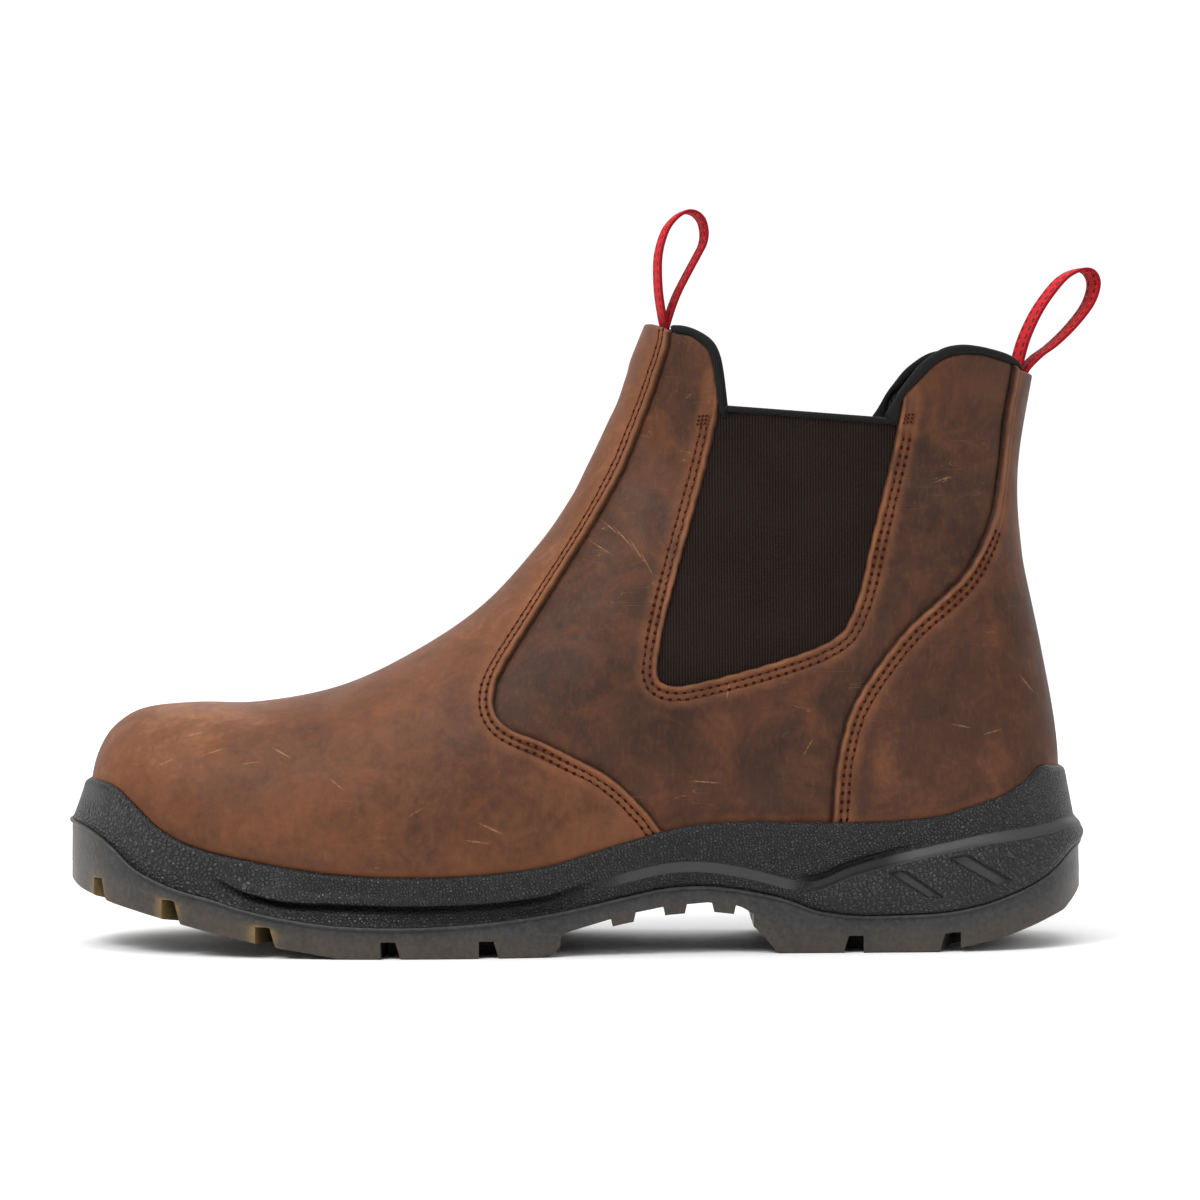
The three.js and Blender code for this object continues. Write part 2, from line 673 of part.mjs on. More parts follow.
function makeOutsole() {
  const stretch = ([from, to]) => planPrism([
    new THREE.Vector2(soleBack - from * soleLength, -soleWidth),
    new THREE.Vector2(soleBack - from * soleLength, soleWidth),
    new THREE.Vector2(soleBack - to * soleLength, soleWidth),
    new THREE.Vector2(soleBack - to * soleLength, -soleWidth),
  ], -sideHeight, 2 * sideHeight);
  const carried = [...lugStretches, ...archRibs].map(stretch).reduce((all, part) => all.add(part));
  const grooves = grooveRows
    .flatMap(([along, slant]) => [-1, 1].map((side) => bar(along, side, soleWidth, grooveWidth, slant)))
    .reduce((all, part) => all.add(part));
  const channel = plate(sideLugLength, () => 2 * sideHeight, -sideHeight)
    .subtract(plate(sideLugLength + channelWidth, () => 3 * sideHeight, -2 * sideHeight));
  return outsoleBody(treadAt)
    .intersect(carried)
    .subtract(grooves)
    .subtract(channel)
    .add(outsoleBody(baseAt));
}

function half(side, start = gap) {
  const box = new THREE.BoxGeometry(4 * soleLength, soleLength, 4 * shaftHeight);
  box.translate(0, side * (soleLength / 2 + start), 0);
  return solid(merged(box));
}

function makeGore(side) {
  const [front, rear] = sideLine(goreTop).map((point) => point.setY(point.y - goreBindingHeight - gap));
  const run = rear.clone().sub(front);
  const start = front.clone().sub(run);
  const end = rear.clone().add(run);
  const under = [start, end, new THREE.Vector2(end.x, 0), new THREE.Vector2(start.x, 0)];
  return form(-goreSet)
    .subtract(form(-goreSet - goreThickness))
    .intersect(sidePrism(moved(goreOutline, -gap)))
    .intersect(sidePrism(under))
    .intersect(half(side));
}

function bindingShell() {
  return form(bindingProud).subtract(form(bindingProud - bindingThickness));
}

function makeGoreBinding(side) {
  const [front, rear] = sideLine(goreTop);
  const drop = new THREE.Vector2(0, -goreBindingHeight);
  const inFront = front.clone().setX(front.x + 2 * gap);
  const inRear = rear.clone().setX(rear.x - 2 * gap);
  const strip = [inFront, inRear, inRear.clone().add(drop), inFront.clone().add(drop)];
  return bindingShell().intersect(sidePrism(strip)).intersect(half(side));
}

function makeCollarBinding(line, side) {
  const points = sideLine(line);
  const goreTopLine = sideLine(goreTop);
  const slope = (goreTopLine[1].y - goreTopLine[0].y) / (goreTopLine[1].x - goreTopLine[0].x);
  const floorAt = (x) => goreTopLine[0].y + slope * (x - goreTopLine[0].x) + gap;
  const below = [
    ...points,
    new THREE.Vector2(points.at(-1).x, floorAt(points.at(-1).x)),
    new THREE.Vector2(points[0].x, floorAt(points[0].x)),
  ];
  return bindingShell()
    .intersect(sidePrism(below))
    .intersect(collarRegionClear)
    .intersect(half(side, loopWidth / 2 + loopClearance));
}

function makeLoop({ seat, outer, inner, tail }) {
  const base = sidePoint(seat);
  const place = ([x, z]) => new THREE.Vector2(x * loopHeight, z * loopHeight);
  const ring = new THREE.SplineCurve(outer.map(place)).getPoints(outer.length);
  const eye = new THREE.CatmullRomCurve3(
    inner.map(place).map((point) => new THREE.Vector3(point.x, point.y, 0)),
    true,
  ).getPoints(inner.length).slice(0, -1).map((point) => new THREE.Vector2(point.x, point.y));
  const geometry = extruded([...ring, ...tail.map(place)], loopWidth, [eye]);
  geometry.translate(0, 0, -loopWidth / 2);
  geometry.rotateX(Math.PI / 2);
  geometry.rotateZ(THREE.MathUtils.degToRad(loopTurn));
  geometry.translate(base.x, 0, base.y);
  const wallZone = form(vampStep + counterThickness + gap)
    .subtract(shellForms.insideClear)
    .subtract(collarRegionClear);
  return solid(merged(geometry)).subtract(wallZone);
}

const boot = new THREE.Group();
boot.add(
  meshOf('outsole', makeOutsole(), finishes.rubber),
  meshOf('midsole', makeMidsole(), finishes.foam),
  meshOf('insole', makeInsole(), finishes.lining),
  meshOf('upper', makeUpper(), finishes.leather),
  meshOf('heel_counter', makeCounter(), finishes.counter),
  meshOf('pull_loop_front', makeLoop(frontLoop), finishes.webbing),
  meshOf('pull_loop_rear', makeLoop(rearLoop), finishes.webbing),
);
for (const [place, side] of [['outer', -1], ['inner', 1]]) {
  boot.add(
    meshOf(`gore_${place}`, makeGore(side), finishes.elastic),
    meshOf(`gore_binding_${place}`, makeGoreBinding(side), finishes.binding),
    meshOf(`collar_binding_front_${place}`, makeCollarBinding(bindingFront, side), finishes.binding),
    meshOf(`collar_binding_rear_${place}`, makeCollarBinding(bindingRear, side), finishes.binding),
  );
}

export default boot;
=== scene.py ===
"""Pull-on work boot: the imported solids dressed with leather, elastic, webbing and rubber.

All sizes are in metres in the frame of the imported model: +Z up, the toe towards -X and the
outer side of the left foot towards -Y.
"""

from __future__ import annotations

import json
import logging
import math
from collections.abc import Iterable
from dataclasses import dataclass, field
from enum import Enum

import bpy
import numpy as np
from mathutils import Euler, Matrix, Vector
from mathutils.bvhtree import BVHTree

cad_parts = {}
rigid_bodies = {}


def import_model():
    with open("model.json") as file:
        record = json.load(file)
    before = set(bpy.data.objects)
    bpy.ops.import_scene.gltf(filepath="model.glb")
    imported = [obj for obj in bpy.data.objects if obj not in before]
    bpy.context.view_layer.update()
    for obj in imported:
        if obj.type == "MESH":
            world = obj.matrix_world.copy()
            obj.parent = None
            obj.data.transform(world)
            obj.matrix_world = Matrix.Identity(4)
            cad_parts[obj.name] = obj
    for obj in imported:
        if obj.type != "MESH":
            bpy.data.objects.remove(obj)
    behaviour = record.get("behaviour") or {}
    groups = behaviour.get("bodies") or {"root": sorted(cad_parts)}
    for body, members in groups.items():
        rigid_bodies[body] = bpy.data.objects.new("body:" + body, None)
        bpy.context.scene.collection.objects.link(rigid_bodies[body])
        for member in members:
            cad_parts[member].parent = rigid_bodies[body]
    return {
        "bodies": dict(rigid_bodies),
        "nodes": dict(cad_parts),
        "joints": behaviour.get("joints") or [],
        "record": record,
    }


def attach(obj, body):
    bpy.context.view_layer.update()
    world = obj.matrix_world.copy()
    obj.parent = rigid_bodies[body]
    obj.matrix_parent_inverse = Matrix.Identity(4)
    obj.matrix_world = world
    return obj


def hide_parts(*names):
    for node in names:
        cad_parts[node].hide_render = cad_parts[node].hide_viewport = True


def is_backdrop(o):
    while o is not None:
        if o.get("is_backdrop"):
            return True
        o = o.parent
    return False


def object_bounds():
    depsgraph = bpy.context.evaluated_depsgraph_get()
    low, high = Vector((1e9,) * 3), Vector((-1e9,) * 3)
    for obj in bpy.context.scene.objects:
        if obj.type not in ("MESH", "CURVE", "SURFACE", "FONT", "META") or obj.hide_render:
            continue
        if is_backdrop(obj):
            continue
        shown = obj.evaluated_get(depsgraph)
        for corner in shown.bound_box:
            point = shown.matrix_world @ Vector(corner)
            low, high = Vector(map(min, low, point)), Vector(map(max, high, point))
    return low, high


Array = np.ndarray
Material = bpy.types.Material
Object = bpy.types.Object
Socket = bpy.types.NodeSocket
Triple = tuple[float, float, float]
Faces = list[tuple[int, ...]]
Shape = tuple[Array, Faces]

log = logging.getLogger("boot")

MM = 0.001
BODY = "root"
SOLE_LENGTH = 310 * MM
SOLE_WIDTH = 112 * MM
SOLE_BACK = 55.6 * MM
SIDE_HEIGHT = 40 * MM
TREAD_HEIGHT = 5.2 * MM
UPPER_LENGTH = 294.5 * MM
UPPER_BACK = 47.5 * MM
BALL_WIDTH = 104 * MM
ANKLE_WIDTH = 76 * MM
TOE_BOX_HEIGHT = 73 * MM
SHAFT_HEIGHT = 190 * MM
HEEL_SEAT = 33 * MM
WALL = 2.6 * MM

# Sections of the last, from the toe to above the collar, in shares of the sizes above:
# front, frontUp, back, backUp, centre, outer, inner, widest, topRound, bottomRound
TOE_ROWS = [
    [0.999, 0.66, 0.999, 1.40, 0.13, 0.02, 0.02, 0.50, 2.0, 2.0],
    [0.997, 0.75, 0.997, 1.27, 0.13, 0.24, 0.24, 0.50, 2.0, 2.0],
    [0.989, 0.84, 0.988, 1.20, 0.13, 0.41, 0.40, 0.58, 2.1, 2.2],
    [0.975, 0.915, 0.973, 1.13, 0.13, 0.57, 0.55, 0.64, 2.2, 2.4],
    [0.948, 0.975, 0.946, 1.01, 0.12, 0.72, 0.70, 0.68, 2.3, 2.8],
    [0.895, 0.998, 0.898, 0.85, 0.09, 0.865, 0.845, 0.70, 2.35, 3.2],
    [0.823, 1.002, 0.830, 0.70, 0.06, 0.95, 0.93, 0.71, 2.3, 3.4],
    [0.739, 1.071, 0.752, 0.59, 0.02, 0.99, 0.98, 0.73, 2.2, 3.6],
]
INSTEP_ROWS = [
    [0.660, 0.469, 0.664, 0.53, -0.03, 1.01, 0.95, 0.75, 2.05, 4.0],
    [0.589, 0.544, 0.569, 0.54, -0.06, 0.98, 0.85, 0.76, 1.9, 4.5],
    [0.531, 0.641, 0.467, 0.64, -0.06, 0.92, 0.77, 0.72, 1.85, 5.0],
    [0.497, 0.716, 0.358, 0.80, -0.05, 0.865, 0.70, 0.66, 1.9, 6.0],
]
ANKLE_ROWS = [
    [0.479, 0.770, 0.246, 0.94, -0.04, 1.12, 0.97, 0.60, 1.95, 7.0],
    [0.467, 0.808, 0.141, 0.985, -0.01, 1.05, 0.98, 0.56, 2.0, 7.0],
    [0.457, 0.841, 0.059, 1.00, 0, 1.01, 0.98, 0.55, 2.1, 5.0],
    [0.450, 0.863, 0.015, 1.10, 0, 1.00, 0.98, 0.55, 2.15, 3.4],
]
SHAFT_ROWS = [
    [0.445, 0.882, 0.000, 0.258, 0, 0.995, 0.985, 0.55, 2.2, 2.6],
    [0.441, 0.901, 0.002, 0.347, 0, 0.99, 0.985, 0.55, 2.2, 2.5],
    [0.437, 0.920, 0.017, 0.479, 0, 0.99, 0.985, 0.54, 2.2, 2.4],
    [0.434, 0.938, 0.036, 0.632, 0, 0.99, 0.99, 0.52, 2.2, 2.3],
    [0.429, 0.958, 0.040, 0.763, 0, 1.00, 1.00, 0.50, 2.2, 2.3],
    [0.420, 0.992, 0.026, 0.905, 0, 1.03, 1.03, 0.50, 2.2, 2.3],
    [0.408, 1.037, 0.008, 1.042, 0, 1.05, 1.05, 0.50, 2.2, 2.3],
]

# Outline of the sole from above: along, outer, inner
OUTLINE_ROWS = [
    [0.000, 0, 0], [0.008, 0.27, 0.27], [0.030, 0.47, 0.47], [0.070, 0.62, 0.62],
    [0.120, 0.695, 0.69], [0.200, 0.72, 0.70], [0.300, 0.735, 0.68], [0.400, 0.79, 0.65],
    [0.500, 0.89, 0.73], [0.600, 0.97, 0.88], [0.700, 0.98, 0.97], [0.800, 0.91, 0.96],
    [0.860, 0.81, 0.91], [0.920, 0.63, 0.80], [0.960, 0.44, 0.65], [0.985, 0.23, 0.47],
    [0.996, 0.06, 0.30], [1.000, -0.11, 0.11],
]

# Lines on the side of the sole: along, rim and border as shares of the side height, and the
# ledge as a share of the way from the border up to the rim
SIDE_ROWS = [
    [0.000, 1.350, 0.800, 0.32], [0.016, 1.370, 0.725, 0.40], [0.034, 1.380, 0.590, 0.46],
    [0.055, 1.278, 0.490, 0.56], [0.080, 1.180, 0.412, 0.65], [0.105, 1.113, 0.350, 0.70],
    [0.141, 1.032, 0.300, 0.72], [0.190, 0.990, 0.283, 0.65], [0.233, 0.988, 0.287, 0.52],
    [0.268, 0.990, 0.333, 0.33], [0.295, 0.995, 0.410, 0.28], [0.328, 1.007, 0.470, 0.32],
    [0.370, 0.995, 0.515, 0.39], [0.410, 0.950, 0.505, 0.44], [0.450, 0.867, 0.445, 0.46],
    [0.490, 0.770, 0.377, 0.45], [0.530, 0.682, 0.320, 0.39], [0.590, 0.625, 0.265, 0.40],
    [0.660, 0.605, 0.237, 0.43], [0.730, 0.627, 0.252, 0.42], [0.780, 0.675, 0.305, 0.33],
    [0.820, 0.730, 0.370, 0.36], [0.850, 0.775, 0.440, 0.50], [0.880, 0.850, 0.495, 0.55],
    [0.905, 0.967, 0.562, 0.55], [0.930, 1.145, 0.662, 0.55], [0.950, 1.257, 0.800, 0.50],
    [0.975, 1.290, 0.925, 0.45], [1.000, 1.275, 0.975, 0.40],
]

# Underside of the tread: along, base, depth as a share of the tread height
TREAD_ROWS = [
    [0.000, 0.525, 0.77], [0.020, 0.388, 0.85], [0.050, 0.300, 0.88], [0.080, 0.225, 0.92],
    [0.113, 0.172, 0.96], [0.145, 0.130, 1.00], [0.302, 0.130, 1.00], [0.320, 0.275, 0.85],
    [0.340, 0.362, 0.52], [0.370, 0.390, 0.52], [0.410, 0.367, 0.52], [0.450, 0.310, 0.52],
    [0.505, 0.190, 0.30], [0.520, 0.140, 0.95], [0.530, 0.130, 1.00], [0.725, 0.130, 1.00],
    [0.780, 0.207, 1.02], [0.820, 0.275, 1.10], [0.860, 0.355, 1.18], [0.900, 0.435, 1.24],
    [0.950, 0.525, 1.22], [0.985, 0.590, 1.10], [1.000, 0.630, 0.98],
]

# Side-view lines of the upper: along its length from the heel, up the shaft height
COLLAR_FRONT = [
    [0.430, 0.999], [0.413, 0.998], [0.396, 0.985], [0.378, 0.979], [0.367, 0.967],
    [0.359, 0.954], [0.355, 0.937], [0.353, 0.915], [0.351, 0.891], [0.348, 0.853],
]
COLLAR_REAR = [
    [0.166, 0.832], [0.161, 0.877], [0.148, 0.899], [0.133, 0.923], [0.120, 0.938],
    [0.103, 0.946], [0.079, 0.946], [0.061, 0.939], [0.044, 0.931], [0.032, 0.920], [-0.02, 0.912],
]
BINDING_FRONT = [
    [0.398, 1.001], [0.385, 0.999], [0.370, 0.989], [0.359, 0.978], [0.352, 0.964],
    [0.347, 0.945], [0.344, 0.924], [0.342, 0.901], [0.340, 0.872],
]
BINDING_REAR = [
    [0.185, 0.852], [0.171, 0.875], [0.159, 0.902], [0.146, 0.929], [0.132, 0.946],
    [0.117, 0.959], [0.099, 0.964], [0.083, 0.962], [0.064, 0.957], [0.046, 0.949], [0.035, 0.937],
]
GORE_EDGE = [
    [0.347, 0.900], [0.351, 0.851], [0.365, 0.755], [0.393, 0.596], [0.406, 0.519],
    [0.413, 0.447], [0.408, 0.430], [0.396, 0.425], [0.377, 0.428], [0.330, 0.445],
    [0.284, 0.465], [0.247, 0.485], [0.225, 0.506], [0.215, 0.532], [0.205, 0.576],
    [0.195, 0.644], [0.181, 0.730], [0.171, 0.793], [0.166, 0.835], [0.161, 0.880],
]
GORE_TOP = [[0.351, 0.866], [0.166, 0.844]]
VAMP_EDGE = [
    [0.397, 1.100], [0.397, 0.984], [0.410, 0.909], [0.427, 0.837], [0.448, 0.758],
    [0.479, 0.674], [0.514, 0.588], [0.541, 0.522], [0.571, 0.447], [0.579, 0.405],
    [0.574, 0.374], [0.558, 0.355], [0.529, 0.338], [0.501, 0.316], [0.473, 0.294],
    [0.450, 0.268], [0.432, 0.240], [0.416, 0.210], [0.400, 0.150], [0.390, -0.10],
]
COUNTER_EDGE = [
    [0.044, 1.000], [0.044, 0.933], [0.054, 0.843], [0.057, 0.792], [0.061, 0.743],
    [0.067, 0.694], [0.079, 0.647], [0.098, 0.598], [0.123, 0.560], [0.152, 0.521],
    [0.176, 0.478], [0.199, 0.429], [0.214, 0.390], [0.223, 0.352], [0.231, 0.298],
    [0.234, 0.251], [0.236, 0.190], [0.236, 0.05],
]


class Side(Enum):
    """The two sides of the boot, by the sign of Y."""

    OUTER = -1
    INNER = 1

    @property
    def word(self) -> str:
        """The side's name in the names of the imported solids."""
        return self.name.lower()


class Finish(Enum):
    """Material slots of the record."""

    LEATHER = "leather"
    ELASTIC = "elastic"
    BINDING = "binding"
    WEBBING = "webbing"
    FOAM = "foam"
    RUBBER = "rubber"
    LINING = "lining"


# Curves


def spline(rows: Array, at: Array) -> Array:
    """Points on a uniform Catmull-Rom curve.

    Args:
        rows: the knots, one in each row.
        at: places on the curve, from 0 at the first knot to 1 at the last.

    Returns:
        One row for each place.
    """
    rows = np.asarray(rows, dtype=float)
    ends = np.vstack([2 * rows[0] - rows[1], rows, 2 * rows[-1] - rows[-2]])
    place = np.clip(at, 0, 1) * (len(rows) - 1)
    knot = np.minimum(place.astype(int), len(rows) - 2)
    t = (place - knot)[:, None]
    a, b, c, d = (ends[knot + k] for k in range(4))
    return 0.5 * (
        2 * b + (c - a) * t + (2 * a - 5 * b + 4 * c - d) * t**2 + (3 * b - a - 3 * c + d) * t**3
    )


def closed_spline(rows: Array, count: int) -> Array:
    """Points on a closed centripetal Catmull-Rom curve.

    Args:
        rows: the knots, one in each row.
        count: how many points, evenly spaced in the curve's knots.

    Returns:
        The points, the first on the first knot.
    """
    rows = np.asarray(rows, dtype=float)
    place = np.arange(count) / count * len(rows)
    knot = place.astype(int)
    t = (place - knot)[:, None]
    a, b, c, d = (rows[(knot + k) % len(rows)] for k in (-1, 0, 1, 2))
    da, db, dc = (np.linalg.norm(q - p, axis=1)[:, None] ** 0.5 for p, q in ((a, b), (b, c), (c, d)))
    first = ((b - a) / da - (c - a) / (da + db) + (c - b) / db) * db
    second = ((c - b) / db - (d - b) / (db + dc) + (d - c) / dc) * db
    return (
        b + first * t + (3 * (c - b) - 2 * first - second) * t**2
        + (2 * (b - c) + first + second) * t**3
    )


def smooth_at(rows: list, key: Array, column: int) -> Array:
    """A column of a table as a smooth function of its first column.

    Args:
        rows: the table.
        key: where it is read.
        column: which column.

    Returns:
        The values at those places.
    """
    table = np.asarray(rows, dtype=float)
    x, y = table[:, 0], table[:, column]
    low, high = np.r_[0, 0 : len(x) - 2, len(x) - 2], np.r_[1, 2 : len(x), len(x) - 1]
    slope = (y[high] - y[low]) / (x[high] - x[low])
    key = np.clip(key, x[0], x[-1])
    i = np.clip(np.searchsorted(x, key, side="left") - 1, 0, len(x) - 2)
    span = x[i + 1] - x[i]
    t = (key - x[i]) / span
    rise = y[i + 1] - y[i]
    a, b = slope[i] * span - rise, rise - slope[i + 1] * span
    return y[i] + t * rise + t * (1 - t) * (a * (1 - t) + b * t)


def straight_at(rows: list, key: Array, column: int) -> Array:
    """A column of a table as a piecewise straight function of its first column."""
    table = np.asarray(rows, dtype=float)
    return np.interp(key, table[:, 0], table[:, column])


def tread_base(along: float) -> float:
    """The height of the tread's base at a share of the sole's length."""
    return float(straight_at(TREAD_ROWS, np.array([along]), 1)[0]) * SIDE_HEIGHT


def ramp(value: Array, low: float, high: float) -> Array:
    """A smooth step from 0 at low to 1 at high."""
    t = np.clip((value - low) / (high - low), 0, 1)
    return t * t * (3 - 2 * t)


def side_line(rows: list, count: int = 0) -> Array:
    """A side-view line in metres as X and Z, smoothed to count points where count is given.

    Args:
        rows: shares of the upper's length and of the shaft height.
        count: how many points, or 0 for the rows themselves.

    Returns:
        The points.
    """
    table = np.asarray(rows, dtype=float)
    points = np.c_[UPPER_BACK - table[:, 0] * UPPER_LENGTH, table[:, 1] * SHAFT_HEIGHT]
    return spline(points, np.linspace(0, 1, count)) if count else points


def evenly(points: Array, pitch: float) -> Array:
    """The same polyline with points at an even pitch.

    Args:
        points: the polyline.
        pitch: the wanted distance along it.

    Returns:
        The new points, the ends kept.
    """
    run = np.r_[0, np.cumsum(np.linalg.norm(np.diff(points, axis=0), axis=1))]
    count = max(int(round(run[-1] / pitch)), 1) + 1
    at = np.linspace(0, run[-1], count)
    return np.c_[tuple(np.interp(at, run, points[:, k]) for k in range(points.shape[1]))]


def inside(points: Array, outline: Array) -> Array:
    """Whether each plane point lies inside a closed outline.

    Args:
        points: plane points.
        outline: the outline's corners.

    Returns:
        True where it is inside.
    """
    x, y = points[:, 0][:, None], points[:, 1][:, None]
    x0, y0 = outline.T
    x1, y1 = np.roll(outline, -1, axis=0).T
    crosses = (y0 > y) != (y1 > y)
    with np.errstate(divide="ignore", invalid="ignore"):
        at = x0 + (y - y0) * (x1 - x0) / (y1 - y0)
    return (crosses & (x < at)).sum(axis=1) % 2 == 1


def distance_to(points: Array, starts: Array, ends: Array) -> Array:
    """The distance of each point from the nearest of many straight pieces.

    Args:
        points: the points.
        starts: one end of each piece.
        ends: its other end.

    Returns:
        One distance for each point.
    """
    best = np.full(len(points), np.inf)
    way = ends - starts
    length = np.maximum((way**2).sum(axis=1), 1e-18)
    for begin in range(0, len(points), 4000):
        part = points[begin : begin + 4000, None, :] - starts[None]
        t = np.clip((part * way).sum(axis=2) / length, 0, 1)
        gap = np.linalg.norm(part - t[..., None] * way, axis=2)
        best[begin : begin + 4000] = gap.min(axis=1)
    return best


# Meshes


@dataclass
class Skin:
    """A polygon mesh in numbers, with normals and named values at its corners.

    Attributes:
        points: corners in metres.
        normals: unit normals at the corners.
        faces: corner numbers of each polygon.
        values: one number for each corner, by name.
    """

    points: Array
    normals: Array
    faces: Faces
    values: dict[str, Array] = field(default_factory=dict)

    def split(self, name: str, level: float, keep_below: bool = True) -> Skin:
        """The mesh cut along a level of one of its values.

        Args:
            name: the value that is followed.
            level: where it is cut.
            keep_below: whether the part under the level stays.

        Returns:
            A new mesh with corners on the cut.
        """
        value = self.values[name] - level
        value[np.abs(value) < 1e-7] = 1e-7
        above = value > 0
        flags = above.tolist()
        pairs: dict[tuple[int, int], int] = {}
        faces: Faces = []
        count = len(self.points)
        for face in self.faces:
            marks = [flags[i] for i in face]
            if all(marks):
                faces.append(face)
                continue
            if not any(marks):
                if keep_below:
                    faces.append(face)
                continue
            halves: tuple[list[int], list[int]] = ([], [])
            for k, here in enumerate(face):
                there = face[(k + 1) % len(face)]
                halves[flags[here]].append(here)
                if flags[here] != flags[there]:
                    key = (here, there) if here < there else (there, here)
                    middle = pairs.setdefault(key, count + len(pairs))
                    halves[0].append(middle)
                    halves[1].append(middle)
            faces.append(tuple(halves[1]))
            if keep_below:
                faces.append(tuple(halves[0]))
        if not pairs:
            return Skin(self.points, self.normals, faces, dict(self.values)).tidy()
        start, end = np.array(list(pairs)).T
        share = value[start] / (value[start] - value[end])

        def between(data: Array) -> Array:
            """Corner numbers with those of the new corners behind them."""
            part = share if data.ndim == 1 else share[:, None]
            return np.concatenate([data, data[start] + (data[end] - data[start]) * part])

        values = {key: between(data) for key, data in self.values.items()}
        return Skin(between(self.points), between(self.normals), faces, values).tidy()

    def tidy(self) -> Skin:
        """The same mesh without corners that no face uses.

        Returns:
            A new mesh.
        """
        used = np.zeros(len(self.points), dtype=bool)
        used[np.fromiter((i for face in self.faces for i in face), dtype=int)] = True
        new = np.cumsum(used) - 1
        numbers = new.tolist()
        return Skin(
            self.points[used],
            self.normals[used],
            [tuple(numbers[i] for i in face) for face in self.faces],
            {key: data[used] for key, data in self.values.items()},
        )

    def raised(self, height: Array | float) -> Skin:
        """The same mesh moved along its normals."""
        lift = self.normals * (height[:, None] if isinstance(height, Array) else height)
        return Skin(self.points + lift, self.normals, self.faces, self.values)

    def measured(self, name: str, outline: Array, side: Side | None = None) -> Skin:
        """Adds the distance from a side-view outline's trace on the skin, above 0 inside it.

        Args:
            name: name of the new value.
            outline: closed outline as X and Z.
            side: the side that the outline cuts, or None for both.

        Returns:
            This mesh.
        """
        flat = self.points[:, [0, 2]]
        within = inside(flat, outline)
        if side is not None:
            within &= np.sign(self.points[:, 1]) == side.value
        edge = distance_to(flat, outline, np.roll(outline, -1, axis=0))
        rough = np.where(within, edge, -edge)
        starts, ends = Skin(self.points, self.normals, self.faces, {"cut": rough}).trace("cut", side)
        exact = rough.copy()
        close = edge < 16 * MM
        if len(starts):
            exact[close] = distance_to(self.points[close], starts, ends) * np.sign(rough[close])
        self.values[name] = exact
        return self

    def trace(self, name: str, side: Side | None) -> tuple[Array, Array]:
        """Straight pieces where a value crosses 0, on one side or on both.

        Args:
            name: the value.
            side: the side, or None for both.

        Returns:
            One end and the other end of each piece.
        """
        value = self.values[name].tolist()
        level = self.points[:, 1].tolist()
        runs: list[tuple[int, int, int, int]] = []
        for face in self.faces:
            marks = [value[i] > 0 for i in face]
            if all(marks) or not any(marks):
                continue
            if side is not None and level[face[0]] * side.value < 0:
                continue
            cuts = [
                (face[k], face[(k + 1) % len(face)])
                for k in range(len(face))
                if marks[k] != marks[(k + 1) % len(face)]
            ]
            runs.append((*cuts[0], *cuts[1]))
        if not runs:
            return np.zeros((0, 3)), np.zeros((0, 3))
        table = np.array(runs)

        def place(one: Array, two: Array) -> Array:
            """Where the value crosses 0 between pairs of corners."""
            a, b = self.values[name][one], self.values[name][two]
            share = (a / (a - b))[:, None]
            return self.points[one] + (self.points[two] - self.points[one]) * share

        return place(table[:, 0], table[:, 1]), place(table[:, 2], table[:, 3])


def write_values(mesh: bpy.types.Mesh, values: dict[str, Array]) -> None:
    """Writes named numbers to a mesh's corners.

    Args:
        mesh: the mesh.
        values: one number for each corner, by name.
    """
    for name, value in values.items():
        attribute = mesh.attributes.new(name, "FLOAT", "POINT")
        attribute.data.foreach_set("value", value.astype(np.float32))


def build(
    name: str, skin: Skin, material: Material, flip: bool = False
) -> Object:
    """A mesh object from numbers, with its values kept as attributes.

    Args:
        name: name of the piece.
        skin: the mesh.
        material: its material.
        flip: whether its faces are turned over.

    Returns:
        The object, smooth shaded.
    """
    mesh = bpy.data.meshes.new(name)
    faces = [face[::-1] for face in skin.faces] if flip else skin.faces
    mesh.from_pydata(skin.points.tolist(), [], faces)
    write_values(mesh, skin.values)
    mesh.materials.append(material)
    mesh.validate()
    mesh.shade_smooth()
    piece = bpy.data.objects.new(name, mesh)
    bpy.context.scene.collection.objects.link(piece)
    return piece


def pick(piece: Object) -> None:
    """Makes one object the only selected and active one.

    Args:
        piece: the object.
    """
    bpy.ops.object.select_all(action="DESELECT")
    piece.select_set(True)
    bpy.context.view_layer.objects.active = piece


def apply_modifier(piece: Object, kind: str, **settings: object) -> None:
    """Adds one modifier with its settings and applies it.

    Args:
        piece: the object.
        kind: the modifier's type.
        settings: its settings.
    """
    pick(piece)
    modifier = piece.modifiers.new(kind.lower(), kind)
    for key, value in settings.items():
        setattr(modifier, key, value)
    bpy.ops.object.modifier_apply(modifier=modifier.name)


def join(name: str, pieces: list[Object]) -> Object:
    """Joins objects into the first one and renames it.

    Args:
        name: the new name.
        pieces: the objects.

    Returns:
        The joined object.
    """
    bpy.ops.object.select_all(action="DESELECT")
    for piece in pieces:
        piece.select_set(True)
    bpy.context.view_layer.objects.active = pieces[0]
    if len(pieces) > 1:
        bpy.ops.object.join()
    pieces[0].name = name
    pieces[0].data.name = name
    return pieces[0]


def settle(piece: Object, finish: Finish, *nodes: str) -> Object:
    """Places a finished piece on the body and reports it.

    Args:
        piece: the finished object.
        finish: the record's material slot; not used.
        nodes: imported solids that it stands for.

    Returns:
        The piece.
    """
    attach(piece, BODY)
    if nodes:
        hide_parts(*nodes)
    log.info("%s: %d faces", piece.name, len(piece.data.polygons))
    return piece


